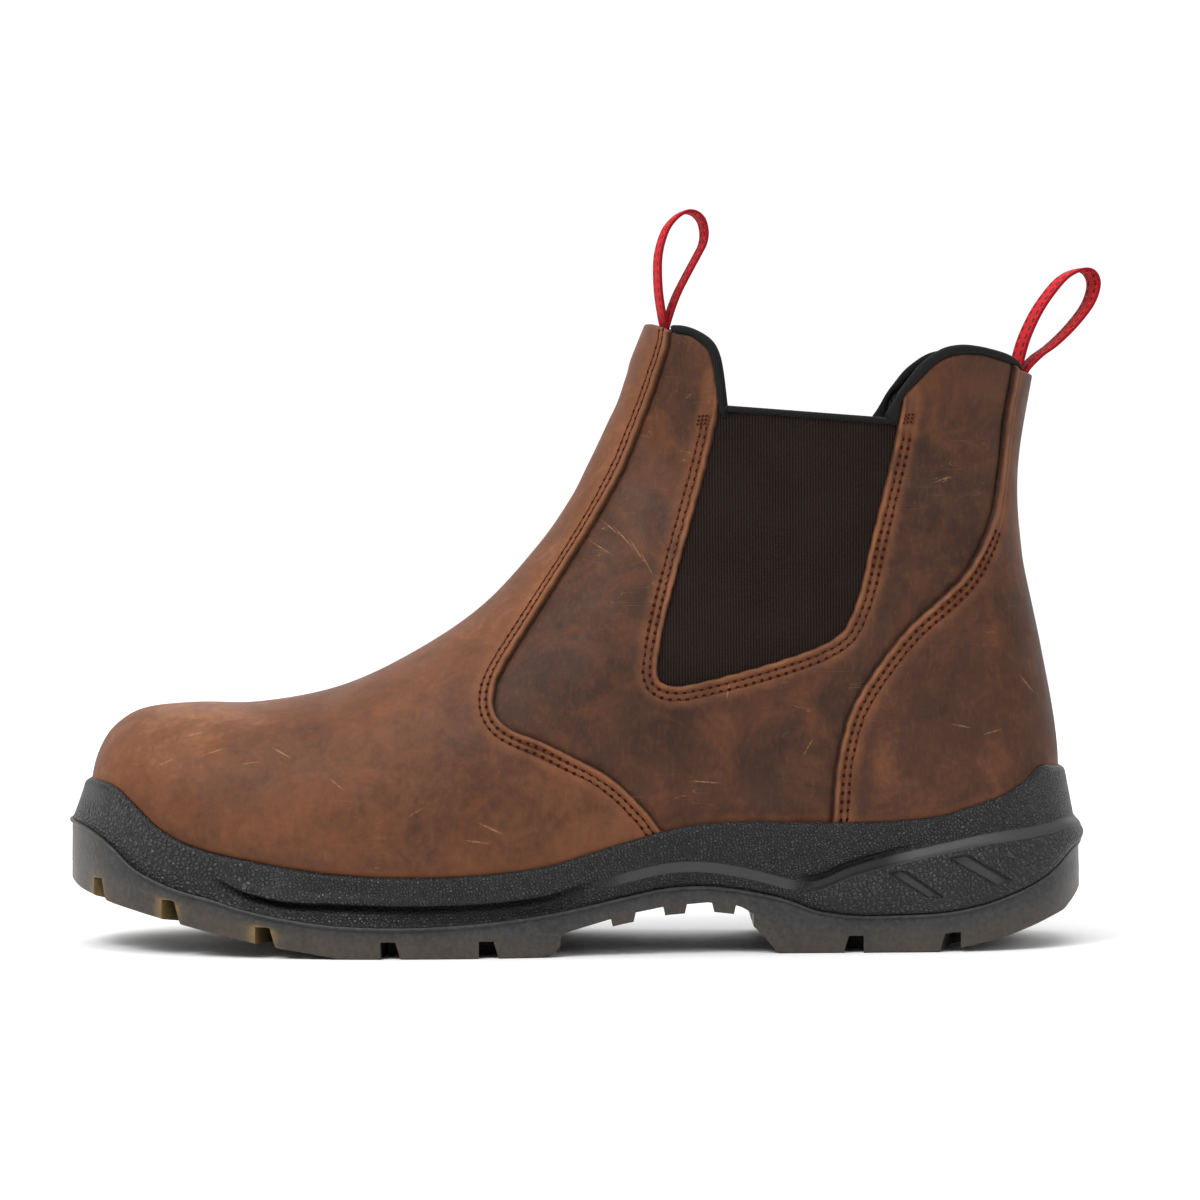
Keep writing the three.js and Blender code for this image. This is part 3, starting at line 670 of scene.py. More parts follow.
def ring_mesh(rings: Array, closed: bool = True) -> Shape:
    """Corners and quads of a stack of rings.

    Args:
        rings: an array of ring, place on the ring and coordinate.
        closed: whether each ring closes on itself.

    Returns:
        The corners and the faces.
    """
    count, around = rings.shape[:2]
    faces = []
    for i in range(count - 1):
        for j in range(around if closed else around - 1):
            k = (j + 1) % around
            faces.append((i * around + j, i * around + k, (i + 1) * around + k, (i + 1) * around + j))
    return rings.reshape(-1, 3), faces


def corner_normals(points: Array, faces: Faces) -> Array:
    """Area-weighted unit normals at the corners.

    Args:
        points: the corners.
        faces: triangles or quads.

    Returns:
        One normal for each corner.
    """
    normals = np.zeros_like(points)
    quads = np.array([face if len(face) == 4 else (*face, face[-1]) for face in faces])
    one, two, three, four = (points[quads[:, k]] for k in range(4))
    cross = np.cross(three - one, four - two)
    for k in range(4):
        np.add.at(normals, quads[:, k], cross)
    return normals / np.maximum(np.linalg.norm(normals, axis=1), 1e-15)[:, None]


@dataclass
class Last:
    """The foot form that every piece of the upper follows.

    Attributes:
        rings: rows of corners from the toe to above the collar.
        around: corners in each row.
    """

    rings: int = 216
    around: int = 180

    def __post_init__(self) -> None:
        """Builds the form's mesh and its search tree."""
        self.skin = self.form()
        self.tree = BVHTree.FromPolygons(self.skin.points.tolist(), self.skin.faces)

    @staticmethod
    def knots() -> Array:
        """Front point, back point, widths and rounds of each section, in metres.

        Returns:
            One row for each section.
        """
        rows = []
        for table, front_unit, back_unit, width in (
            (TOE_ROWS, TOE_BOX_HEIGHT, HEEL_SEAT, BALL_WIDTH / 2),
            (INSTEP_ROWS, SHAFT_HEIGHT, HEEL_SEAT, BALL_WIDTH / 2),
            (ANKLE_ROWS, SHAFT_HEIGHT, HEEL_SEAT, ANKLE_WIDTH / 2),
            (SHAFT_ROWS, SHAFT_HEIGHT, SHAFT_HEIGHT, ANKLE_WIDTH / 2),
        ):
            for front, front_up, back, back_up, centre, outer, inner, widest, top, bottom in table:
                rows.append([
                    UPPER_BACK - front * UPPER_LENGTH, front_up * front_unit,
                    UPPER_BACK - back * UPPER_LENGTH, back_up * back_unit,
                    centre * width, outer * width, inner * width, widest, top, bottom,
                ])
        return np.array(rows)

    @staticmethod
    def section(row: Array, turns: Array) -> Array:
        """Points round one section.

        Args:
            row: one row of knots.
            turns: places round it, 0 at the front, a quarter on the outer side.

        Returns:
            One point for each turn.
        """
        x0, z0, x1, z1, centre, outer, inner, widest, top, bottom = row
        outside = turns <= 0.5
        half = np.where(outside, turns * 2, (1 - turns) * 2)
        upper = half < 0.5
        angle = np.where(upper, half, half - 0.5) * np.pi
        power = 2 / np.where(upper, top, bottom)
        sine, cosine = np.abs(np.sin(angle)), np.abs(np.cos(angle))
        down = np.where(upper, widest * (1 - cosine**power), widest + (1 - widest) * sine**power)
        out = np.where(upper, sine**power, cosine**power) * (half < 1)
        return np.c_[
            x0 + (x1 - x0) * down,
            centre + np.where(outside, -outer, inner) * out,
            z0 + (z1 - z0) * down,
        ]

    def form(self) -> Skin:
        """The form's mesh, with its corners evenly spaced round each section.

        Returns:
            The mesh with its normals.
        """
        at = np.linspace(0, 1, 900)
        knots = self.knots()
        fine = spline(knots, at)
        run = np.r_[0, np.cumsum(np.linalg.norm(np.diff(fine[:, :4], axis=0), axis=1))]
        rows = spline(knots, np.interp(np.linspace(0, run[-1], self.rings), run, at))
        warp = (1 - np.cos(np.linspace(0, np.pi, 240))) / 2
        dense = np.r_[warp**2 * 0.25, 0.25 + (warp[1:] ** 4) * 0.25]
        half_count = self.around // 2
        rings = []
        for row in rows:
            parts = []
            for turns in (dense, np.clip(0.5 + (0.5 - dense[::-1]), 0.5 + 1e-12, 1)):
                line = self.section(row, turns)
                length = np.r_[0, np.cumsum(np.linalg.norm(np.diff(line, axis=0), axis=1))]
                spots = np.linspace(0, length[-1], half_count + 1)[:-1]
                parts.append(np.c_[tuple(np.interp(spots, length, line[:, k]) for k in range(3))])
            rings.append(np.vstack(parts))
        points, faces = ring_mesh(np.array(rings))
        return Skin(points, corner_normals(points, faces), faces)

    def near(self, point: Array) -> tuple[Array, Array]:
        """The nearest point of the form and the outward direction there.

        Args:
            point: a place in space.

        Returns:
            The point and the direction.
        """
        place, normal, index, _ = self.tree.find_nearest(Vector(point))
        face = self.skin.faces[index]
        gaps = np.linalg.norm(self.skin.points[list(face)] - np.array(place), axis=1)
        weights = 1 / (gaps + 1e-5)
        smooth = (self.skin.normals[list(face)] * weights[:, None]).sum(axis=0)
        return np.array(place), smooth / np.linalg.norm(smooth)

    def onto(self, line: Array, side: Side) -> Array:
        """A side-view line laid on one side of the form.

        Args:
            line: its points as X and Z.
            side: the side.

        Returns:
            The points that meet the form.
        """
        spots = []
        for x, z in line:
            start = Vector((x, side.value * 0.2, z))
            hit, _, _, _ = self.tree.ray_cast(start, Vector((0, -side.value, 0)))
            if hit is not None:
                spots.append(hit)
        return np.array(spots)

    def beside(self, line: Array, shift: float, side: Side) -> Array:
        """A line on the form moved sideways along it.

        Args:
            line: points on the form.
            shift: how far, towards the toe or downwards where it is above 0.
            side: the side that it lies on.

        Returns:
            The moved points, on the form.
        """
        way = np.gradient(line, axis=0)
        spots = []
        for point, along in zip(line, way):
            _, normal = self.near(point)
            across = np.cross(normal, along) * side.value
            across /= np.linalg.norm(across)
            spots.append(self.near(point + across * shift)[0])
        return np.array(spots)


# Materials


class Graph:
    """The node tree of one material, built from the shader backwards."""

    def __init__(self, name: str) -> None:
        """Makes an empty material with one Principled shader.

        Args:
            name: name of the material.
        """
        self.material = bpy.data.materials.new(name)
        self.material.use_nodes = True
        self.tree = self.material.node_tree
        self.tree.nodes.clear()
        self.shader = self.tree.nodes.new("ShaderNodeBsdfPrincipled")
        output = self.tree.nodes.new("ShaderNodeOutputMaterial")
        self.tree.links.new(self.shader.outputs[0], output.inputs[0])
        self.place = self.add("TexCoord").outputs["Object"]

    def add(self, kind: str, inputs: dict | None = None, **settings: object) -> bpy.types.Node:
        """Adds a node.

        Args:
            kind: its type, without the common prefix.
            inputs: values or sockets for its inputs, by name or number.
            settings: its own settings.

        Returns:
            The node.
        """
        node = self.tree.nodes.new(f"ShaderNode{kind}")
        for key, value in settings.items():
            setattr(node, key, value)
        for key, value in (inputs or {}).items():
            self.feed(node.inputs[key], value)
        return node

    def feed(self, socket: Socket, value: object) -> None:
        """Links a socket to another, or sets its value.

        Args:
            socket: the input.
            value: a socket or a constant.
        """
        if isinstance(value, Socket):
            self.tree.links.new(value, socket)
        else:
            socket.default_value = value

    def set(self, **inputs: object) -> None:
        """Feeds the shader, with underscores in its input names."""
        for key, value in inputs.items():
            self.feed(self.shader.inputs[key.replace("_", " ")], value)

    def noise(
        self, scale: float, detail: float = 3, rough: float = 0.55, **more: object
    ) -> Socket:
        """A noise from 0 to 1, scale in repeats for each metre.

        Args:
            scale: repeats for each metre.
            detail: octaves.
            rough: strength of the finer octaves.
            more: other inputs, and place for other coordinates.

        Returns:
            The noise.
        """
        place = more.pop("place", self.place)
        inputs = {"Vector": place, "Scale": scale, "Detail": detail, "Roughness": rough, **more}
        return self.add("TexNoise", inputs).outputs[0]

    def stretched(self, scale: Triple, turn: float = 0) -> Socket:
        """Object coordinates scaled along each axis and turned about Y, in degrees."""
        inputs = {"Vector": self.place, "Rotation": (0, math.radians(turn), 0), "Scale": scale}
        return self.add("Mapping", inputs).outputs[0]

    def value(self, name: str) -> Socket:
        """A named value of the mesh's corners."""
        return self.add("Attribute", attribute_name=name).outputs["Fac"]

    def math(self, operation: str, one: object, two: object = 0.0) -> Socket:
        """One step of arithmetic."""
        return self.add("Math", {0: one, 1: two}, operation=operation).outputs[0]

    def scaled(self, value: object, gain: float, offset: float) -> Socket:
        """A value times a gain, with an offset added."""
        inputs = {0: value, 1: gain, 2: offset}
        return self.add("Math", inputs, operation="MULTIPLY_ADD").outputs[0]

    def wave(self, value: object, pitch: float) -> Socket:
        """A sine of a place in metres that repeats at a pitch in metres."""
        return self.math("SINE", self.math("MULTIPLY", value, 2 * math.pi / pitch))

    def fit(
        self, value: object, low: float, high: float, to_low: float = 0, to_high: float = 1
    ) -> Socket:
        """A value moved from one range to another and kept inside it."""
        inputs = {"Value": value, "From Min": low, "From Max": high, "To Min": to_low, "To Max": to_high}
        return self.add("MapRange", inputs).outputs[0]

    def mix(self, share: object, one: object, two: object, blend: str = "MIX") -> Socket:
        """Two colours mixed.

        Args:
            share: how much of the second.
            one, two: the colours.
            blend: how they are mixed.

        Returns:
            The mixed colour.
        """
        node = self.add("Mix", {0: share}, data_type="RGBA", blend_type=blend)
        for socket, colour in zip(node.inputs[6:8], (one, two)):
            self.feed(socket, (*colour, 1) if isinstance(colour, tuple) and len(colour) == 3 else colour)
        return node.outputs[2]

    def colours(self, value: object, *stops: tuple[float, Triple]) -> Socket:
        """A colour ramp through (place, colour) stops.

        Args:
            value: what is looked up.
            stops: places and colours.

        Returns:
            The colour.
        """
        node = self.add("ValToRGB", {0: value})
        elements = node.color_ramp.elements
        while len(elements) < len(stops):
            elements.new(0.5)
        for element, (at, colour) in zip(elements, stops):
            element.position = at
            element.color = (*colour, 1)
        return node.outputs[0]

    def bump(self, height: object, depth: float, strength: float = 1, normal: object = None) -> Socket:
        """A bump of a depth in metres over another one.

        Args:
            height: the relief.
            depth: its depth.
            strength: its share.
            normal: the bump below it, if any.

        Returns:
            The normal.
        """
        inputs = {"Height": height, "Distance": depth, "Strength": strength}
        if normal is not None:
            inputs["Normal"] = normal
        return self.add("Bump", inputs).outputs[0]


# Scratches on the outer side: X, Z, turn in degrees, half length and half width in millimetres
SCRATCHES = [
    (-187, 61, -27, 4.0, 0.35), (-170, 52, -38, 3.0, 0.35), (-124, 39, -25, 5.5, 0.4),
    (-128, 35, -8, 5.0, 0.3), (-214, 66, 12, 4.5, 0.4), (-208, 61, 18, 5.0, 0.3),
    (-222, 58, 24, 3.5, 0.3), (-196, 58, 8, 3.2, 0.25), (-53, 79, 80, 3.4, 0.3),
    (-88, 128, -40, 5.0, 0.3), (-84, 125, -48, 6.0, 0.3), (-80, 121, -58, 5.5, 0.25),
    (-91, 122, -32, 5.0, 0.25), (-77, 117, -62, 4.5, 0.25), (12, 142, 20, 4.0, 0.3),
    (17, 68, -12, 3.6, 0.3), (27, 66, 14, 3.4, 0.3), (38, 80, -50, 5.0, 0.35),
    (-29, 62, 60, 3.5, 0.25), (-60, 52, -5, 5.0, 0.3), (-146, 44, 30, 3.4, 0.3),
]


@dataclass(frozen=True)
class OiledLeather:
    """Distressed oily leather that lightens where it is pulled.

    Attributes:
        dark, middle, light, pulled: its tones.
        rough: roughness of the oily surface.
        coat: weight of the waxy film.
    """

    dark: Triple = (0.022, 0.0115, 0.0080)
    middle: Triple = (0.064, 0.0255, 0.0142)
    light: Triple = (0.150, 0.057, 0.0255)
    pulled: Triple = (0.330, 0.142, 0.062)
    rough: float = 0.58
    coat: float = 0.01

    def make(self, name: str) -> Material:
        """The leather; the meshes give it tone, edge and wear, and painted shade along the seams.

        Args:
            name: name of the material.

        Returns:
            The material.
        """
        g = Graph(name)
        clouds = g.noise(19, 4, 0.55, Distortion=0.35)
        patches = g.noise(84, 5, 0.66, Distortion=0.7)
        specks = g.noise(420, 3, 0.6)
        tone = g.scaled(clouds, 0.42, -0.21)
        small = g.scaled(patches, 0.50, -0.25)
        fine = g.scaled(specks, 0.24, -0.12)
        level = g.math("ADD", g.math("ADD", tone, small), g.math("ADD", fine, g.value("tone")))
        base = g.colours(
            level, (0.12, self.dark), (0.42, self.middle), (0.72, self.light), (1.0, self.pulled)
        )
        warm = g.fit(g.noise(46, 4, 0.65, Distortion=0.8), 0.48, 0.70)
        base = g.mix(g.math("MULTIPLY", warm, 0.30), base, (0.19, 0.064, 0.022))
        cool = g.fit(g.noise(27, 3, 0.5, place=g.stretched((1, 1, 1.3), 20)), 0.55, 0.75)
        base = g.mix(g.math("MULTIPLY", cool, 0.26), base, (0.056, 0.034, 0.026))
        edge = g.math("MULTIPLY", g.value("edge"), g.fit(g.noise(140, 2), 0.3, 0.7, 0.35, 1))
        base = g.mix(edge, base, (0.235, 0.088, 0.036))
        # Painted shade: the seams' troughs and the lapped edges are darker in the colour.
        base = g.mix(g.value("groove"), base, (0.012, 0.006, 0.004))
        scratch = self.scratches(g)
        wear = g.math("MULTIPLY", scratch, g.fit(g.noise(24, 2), 0.5, 0.62, 0, 0.5))
        base = g.mix(wear, base, (0.32, 0.155, 0.075))
        nap = g.fit(g.noise(1.0, 3, 0.6, place=g.stretched((900, 900, 240), 62)), 0.52, 0.78, 0, 0.15)
        base = g.mix(nap, base, (0.20, 0.085, 0.040))
        base = g.mix(g.math("MULTIPLY", self.marks(g), 0.55), base, (0.36, 0.175, 0.085))
        g.set(Base_Color=base, Metallic=0.0)
        film = g.noise(90, 3, 0.6)
        film = g.math("ADD", film, g.math("MULTIPLY", specks, 0.3))
        rough = g.fit(film, 0.3, 0.95, self.rough - 0.09, self.rough + 0.15)
        g.set(Roughness=rough, Specular_IOR_Level=0.16, Coat_Weight=self.coat, Coat_Roughness=0.38)
        g.set(Sheen_Weight=0.02, Sheen_Roughness=0.45)
        inputs = {"Vector": g.place, "Scale": 1500.0}
        cells = g.add("TexVoronoi", inputs, feature="F1").outputs["Distance"]
        grain = g.math("ADD", g.math("MULTIPLY", cells, 0.5), g.noise(2100, 3, 0.7))
        normal = g.bump(grain, 0.00007, 0.45)
        normal = g.bump(g.noise(260, 4, 0.65), 0.00030, 0.38, normal)
        normal = g.bump(g.math("SUBTRACT", 1.0, scratch), 0.00012, 0.35, normal)
        g.set(Normal=normal)
        return g.material

    @staticmethod
    def marks(g: Graph) -> Socket:
        """The listed scratches, from 0 to 1.

        Args:
            g: the material's nodes.

        Returns:
            Their strength.
        """
        found = None
        for x, z, turn, long, wide in SCRATCHES:
            inputs = {
                "Vector": g.place,
                "Location": (x * MM, -46 * MM, z * MM),
                "Rotation": (0, math.radians(-turn), 0),
                "Scale": (long * MM, 60 * MM, wide * MM),
            }
            place = g.add("Mapping", inputs, vector_type="TEXTURE").outputs[0]
            mark = g.add("TexGradient", {0: place}, gradient_type="SPHERICAL").outputs["Fac"]
            found = mark if found is None else g.math("MAXIMUM", found, mark)
        return g.math("MULTIPLY", g.fit(found, 0.02, 0.6), g.fit(g.noise(900, 2), 0.35, 0.6, 0.25, 1))

    @staticmethod
    def scratches(g: Graph) -> Socket:
        """Thin light marks in three directions, from 0 to 1.

        Args:
            g: the material's nodes.

        Returns:
            Their strength.
        """
        marks = None
        for turn, stretch, offset in ((28, 9, 0.0), (-52, 11, 3.7), (81, 8, 7.9)):
            place = g.stretched((34, 34, 34 * stretch), turn)
            shifted = g.add("VectorMath", {0: place, 1: (offset, offset, 0)}, operation="ADD").outputs[0]
            line = g.noise(1.0, 2, 0.5, place=shifted, Distortion=0.15)
            near = g.fit(g.math("ABSOLUTE", g.math("SUBTRACT", line, 0.5)), 0.0, 0.006, 1, 0)
            gate = g.fit(g.noise(70, 2, 0.5, place=g.stretched((1, 1, 2), turn + offset)), 0.60, 0.66)
            mark = g.math("MULTIPLY", near, gate)
            marks = mark if marks is None else g.math("MAXIMUM", marks, mark)
        return marks


@dataclass(frozen=True)
class Fabric:
    """Woven or knitted cloth with ribs along Z.

    Attributes:
        dark, light: its tones between and on the ribs.
        rib: rib pitch in metres, along X.
        depth: height of the ribs.
    """

    dark: Triple
    light: Triple
    rib: float
    depth: float

    def make(self, name: str) -> Material:
        """The cloth.

        Args:
            name: name of the material.

        Returns:
            The material.
        """
        g = Graph(name)
        parts = g.add("SeparateXYZ", {0: g.place}).outputs
        wobble = g.math("MULTIPLY", g.noise(160, 2), 0.00035)
        across = g.math("ADD", parts[0], wobble)
        ribs = g.scaled(g.wave(across, self.rib), 0.5, 0.5)
        rows = g.scaled(g.wave(parts[2], self.rib * 0.8), 0.5, 0.5)
        knots = g.math("MULTIPLY", ribs, g.fit(rows, 0, 1, 0.55, 1))
        fuzz = g.noise(2600, 3, 0.7)
        shade = g.math("ADD", g.math("MULTIPLY", knots, 0.62), g.math("MULTIPLY", fuzz, 0.5))
        base = g.colours(shade, (0.25, self.dark), (0.85, self.light))
        faded = g.fit(g.noise(55, 3), 0.35, 0.75, 0, 0.15)
        base = g.mix(faded, base, tuple(1.5 * c for c in self.light))
        g.set(Base_Color=base, Metallic=0.0, Roughness=0.86, Specular_IOR_Level=0.12)
        g.set(Sheen_Weight=0.02, Sheen_Roughness=0.5)
        normal = g.bump(knots, self.depth, 0.8)
        g.set(Normal=g.bump(fuzz, 0.00012, 0.5, normal))
        return g.material


ELASTIC = Fabric((0.0022, 0.0012, 0.0009), (0.0265, 0.0140, 0.0110), 0.86 * MM, 0.3 * MM)
TAPE = Fabric((0.004, 0.004, 0.0042), (0.015, 0.015, 0.0158), 0.6 * MM, 0.1 * MM)
MESH = Fabric((0.005, 0.005, 0.005), (0.018, 0.0175, 0.017), 1.4 * MM, 0.2 * MM)
FELT = Fabric((0.018, 0.017, 0.017), (0.045, 0.043, 0.042), 1.1 * MM, 0.1 * MM)


@dataclass(frozen=True)
class PebbledFoam:
    """Moulded polyurethane with a pebbled skin and smooth bands.

    Attributes:
        tone: its tone between the pebbles, painted dark as their shade.
        light: its tone on them, painted lighter as their highlights.
        plain: its tone on the smooth bands, painted lighter as their highlight.
    """

    tone: Triple = (0.0018, 0.0018, 0.0020)
    light: Triple = (0.027, 0.027, 0.0285)
    plain: Triple = (0.033, 0.033, 0.035)

    def pebbles(self, g: Graph, scale: float) -> Socket:
        """Rounded pebbles, 0 between them and 1 on top.

        Args:
            g: the material's nodes.
            scale: pebbles for each metre.

        Returns:
            Their height.
        """
        inputs = {"Vector": g.place, "Scale": scale, "Randomness": 0.9}
        gap = g.add("TexVoronoi", inputs, feature="DISTANCE_TO_EDGE").outputs["Distance"]
        return g.fit(gap, 0.03, 0.28)

    def make(self, name: str) -> Material:
        """The foam; the mesh gives it smooth, where it is not pebbled, coarse and painted shade.

        Args:
            name: name of the material.

        Returns:
            The material.
        """
        g = Graph(name)
        coarse = g.value("coarse")
        fine = g.math("MULTIPLY", self.pebbles(g, 1020), g.fit(coarse, 0, 1, 0.85, 0))
        pebble = g.math("ADD", g.math("MULTIPLY", self.pebbles(g, 700), coarse), fine)
        worn = g.noise(60, 3)
        rough = g.math("SUBTRACT", 1.0, g.value("smooth"))
        height = g.math("MULTIPLY", pebble, rough)
        # Painted highlights and shade: the pebble tops are lighter and the gaps darker in the colour.
        painted_top_highlight = g.math("MULTIPLY", g.fit(pebble, 0.2, 0.95), rough)
        base = g.mix(painted_top_highlight, self.tone, self.light)
        # Painted highlight: the smooth bands are lighter than the pebbled skin.
        base = g.mix(g.fit(g.value("smooth"), 0.5, 1.0), base, self.plain)
        base = g.mix(g.fit(worn, 0.45, 0.8, 0, 0.3), base, (0.020, 0.020, 0.021))
        # Painted shade from the mesh: darker and less shiny under the ledges.
        base = g.mix(g.value("shade"), base, (0.0012, 0.0012, 0.0013))
        g.set(Base_Color=base, Metallic=0.0)
        g.set(Specular_IOR_Level=g.fit(g.value("shade"), 0, 1, 0.42, 0.08))
        relief = g.math("ADD", height, g.math("MULTIPLY", worn, 0.3))
        g.set(Roughness=g.fit(relief, 0.0, 1.2, 0.54, 0.40))
        normal = g.bump(g.noise(2600, 3, 0.7), 0.00008, 0.45)
        g.set(Normal=g.bump(height, 0.00045, 1.0, normal))
        return g.material


@dataclass(frozen=True)
class ClearRubber:
    """Dark polyurethane that lets light through where it is thin.

    Attributes:
        tone, light: its tones where it is thick.
        brown: its tone where it is thinner.
        glow: its tone in the toe's grooves, painted light that comes through the rubber.
    """

    tone: Triple = (0.019, 0.0198, 0.0208)
    light: Triple = (0.033, 0.034, 0.035)
    brown: Triple = (0.066, 0.048, 0.032)
    glow: Triple = (0.19, 0.125, 0.045)

    def make(self, name: str) -> Material:
        """The rubber; the mesh gives it thin and amber, where light that comes through is painted into
        its colour.

        Args:
            name: name of the material.

        Returns:
            The material.
        """
        g = Graph(name)
        worn = g.noise(48, 4, 0.6)
        base = g.mix(g.fit(worn, 0.35, 0.75), self.tone, self.light)
        speck = g.noise(620, 3, 0.7)
        base = g.mix(g.fit(speck, 0.42, 0.68, 0, 0.45), base, (0.058, 0.058, 0.058))
        # Painted light: the thin parts turn brown and the toe's grooves amber, as if lit through.
        thin = g.math("MULTIPLY", g.value("thin"), g.fit(worn, 0.2, 0.7, 0.35, 1))
        base = g.mix(thin, base, self.brown)
        base = g.mix(g.value("amber"), base, self.glow)
        base = g.mix(g.fit(speck, 0.35, 0.6, 0.3, 0), base, (0.010, 0.010, 0.010))
        g.set(Base_Color=base, Metallic=0.0, Roughness=g.fit(worn, 0.3, 0.8, 0.40, 0.54))
        g.set(Specular_IOR_Level=0.35, Coat_Weight=0.08, Coat_Roughness=0.3)
        g.set(Normal=g.bump(g.noise(800, 4, 0.75), 0.00045, 0.6))
        return g.material


@dataclass(frozen=True)
class Webbing:
    """Red woven tape with darker woven dashes along it, on its own coordinates.

    Attributes:
        tone: its own tone.
        dark: tone of the dashes.
    """

    tone: Triple = (0.56, 0.004, 0.010)
    dark: Triple = (0.020, 0.006, 0.007)

    def make(self, name: str) -> Material:
        """The tape; the mesh gives it run and across in metres.

        Args:
            name: name of the material.

        Returns:
            The material.
        """
        g = Graph(name)
        run, across = g.value("run"), g.value("across")
        weave = g.math("MULTIPLY", g.wave(across, 0.0011), g.wave(run, 0.0009))
        weave = g.scaled(weave, 0.5, 0.5)
        base = g.mix(g.fit(weave, 0, 1, 0.0, 0.25), self.tone, (0.33, 0.004, 0.010))
        beat = g.math("FRACT", g.math("DIVIDE", run, 0.0027))
        dash = g.fit(g.math("ABSOLUTE", g.math("SUBTRACT", beat, 0.5)), 0.24, 0.31, 1, 0)
        off_band = g.math("ABSOLUTE", g.math("SUBTRACT", g.math("ABSOLUTE", across), 0.0040))
        band = g.fit(off_band, 0.0009, 0.0013, 1, 0)
        base = g.mix(g.math("MULTIPLY", dash, g.math("MULTIPLY", band, 0.92)), base, self.dark)
        border = g.fit(g.math("ABSOLUTE", across), 0.0064, 0.0069)
        base = g.mix(g.math("MULTIPLY", border, 0.75), base, (0.10, 0.006, 0.010))
        g.set(Base_Color=base, Metallic=0.0, Roughness=0.8, Specular_IOR_Level=0.12)
        g.set(Normal=g.bump(weave, 0.00012, 0.5))
        return g.material


@dataclass(frozen=True)
class Thread:
    """Bonded sewing thread.

    Attributes:
        tone: its lighter tone.
    """

    tone: Triple = (0.150, 0.040, 0.017)

    def make(self, name: str) -> Material:
        """The thread.

        Args:
            name: name of the material.

        Returns:
            The material.
        """
        g = Graph(name)
        twist = g.noise(2400, 2)
        g.set(Base_Color=g.mix(twist, tuple(0.5 * c for c in self.tone), self.tone), Metallic=0.0)
        g.set(Roughness=0.75, Specular_IOR_Level=0.06, Normal=g.bump(twist, 0.0001, 0.5))
        return g.material


# Upper


@dataclass(frozen=True)
class Fold:
    """A soft trough, or a ridge where its depth is below 0, laid on one side.

    Attributes:
        start, end: its ends in the side view, in millimetres.
        bend: how far its middle stands off the straight line.
        width: half its width.
        depth: how deep it is.
        side: the side that it lies on, or None for both.
    """

    start: tuple[float, float]
    end: tuple[float, float]
    bend: float
    width: float
    depth: float
    side: Side | None = None

    def height(self, points: Array) -> Array:
        """What it adds to the height of each point.

        Args:
            points: the points.

        Returns:
            Heights in metres.
        """
        start, end = np.array(self.start) * MM, np.array(self.end) * MM
        way = end - start
        length = np.linalg.norm(way)
        along = ((points[:, [0, 2]] - start) @ way) / length**2
        across = (points[:, [0, 2]] - start) @ np.array([-way[1], way[0]]) / length
        across -= self.bend * MM * 4 * along * (1 - along)
        fade = ramp(along, -0.12, 0.18) * (1 - ramp(along, 0.82, 1.12))
        if self.side is not None:
            fade = fade * (np.sign(points[:, 1]) == self.side.value)
        return -self.depth * MM * np.exp(-((across / (self.width * MM)) ** 2)) * fade


FOLDS = [
    Fold((-206, 36), (-150, 27.5), 1.2, 1.6, 0.22),
    Fold((-196, 39), (-138, 30.5), 1.0, 1.5, 0.16),
    Fold((-150, 62), (-128, 34), 2.0, 4.5, 0.45),
    Fold((-136, 68), (-114, 36), 2.5, 4.5, -0.35),
    Fold((-122, 80), (-104, 42), 3.0, 5.0, 0.5),
    Fold((-104, 92), (-98, 62), 1.5, 5.0, 0.45),
    Fold((-86, 132), (-74, 96), -3.0, 6.0, 0.5),
    Fold((-92, 84), (-60, 60), -4.0, 7.0, 0.5),
    Fold((-50, 66), (-20, 78), 3.0, 6.0, 0.45),
    Fold((-14, 122), (16, 104), 3.0, 6.0, 0.5),
    Fold((0, 150), (26, 138), 3.0, 6.0, 0.35),
    Fold((34, 120), (16, 84), -3.0, 7.0, 0.5),
    Fold((-30, 48), (-6, 44), 1.0, 3.0, 0.2),
    Fold((-228, 58), (-196, 64), 2.0, 8.0, 0.3),
]


@dataclass(frozen=True)
class Patch:
    """A soft patch that is lighter, or darker where it is below 0.

    Attributes:
        at: its middle in the side view, in millimetres.
        size: its half sizes along X and Z.
        change: how much it adds to the tone.
        turn: how far it is turned, in degrees.
    """

    at: tuple[float, float]
    size: tuple[float, float]
    change: float
    turn: float = 0

    def tone(self, points: Array) -> Array:
        """What it adds to the tone of each point.

        Args:
            points: the points.

        Returns:
            One number for each point.
        """
        x, z = (points[:, [0, 2]] - np.array(self.at) * MM).T
        angle = math.radians(self.turn)
        u = (x * math.cos(angle) + z * math.sin(angle)) / (self.size[0] * MM)
        v = (z * math.cos(angle) - x * math.sin(angle)) / (self.size[1] * MM)
        return self.change * np.exp(-(u**2 + v**2))


def tones(points: Array, level: float, patches: Iterable[Patch]) -> Array:
    """The tone of each point of a panel."""
    return level + sum((patch.tone(points) for patch in patches), np.zeros(len(points)))


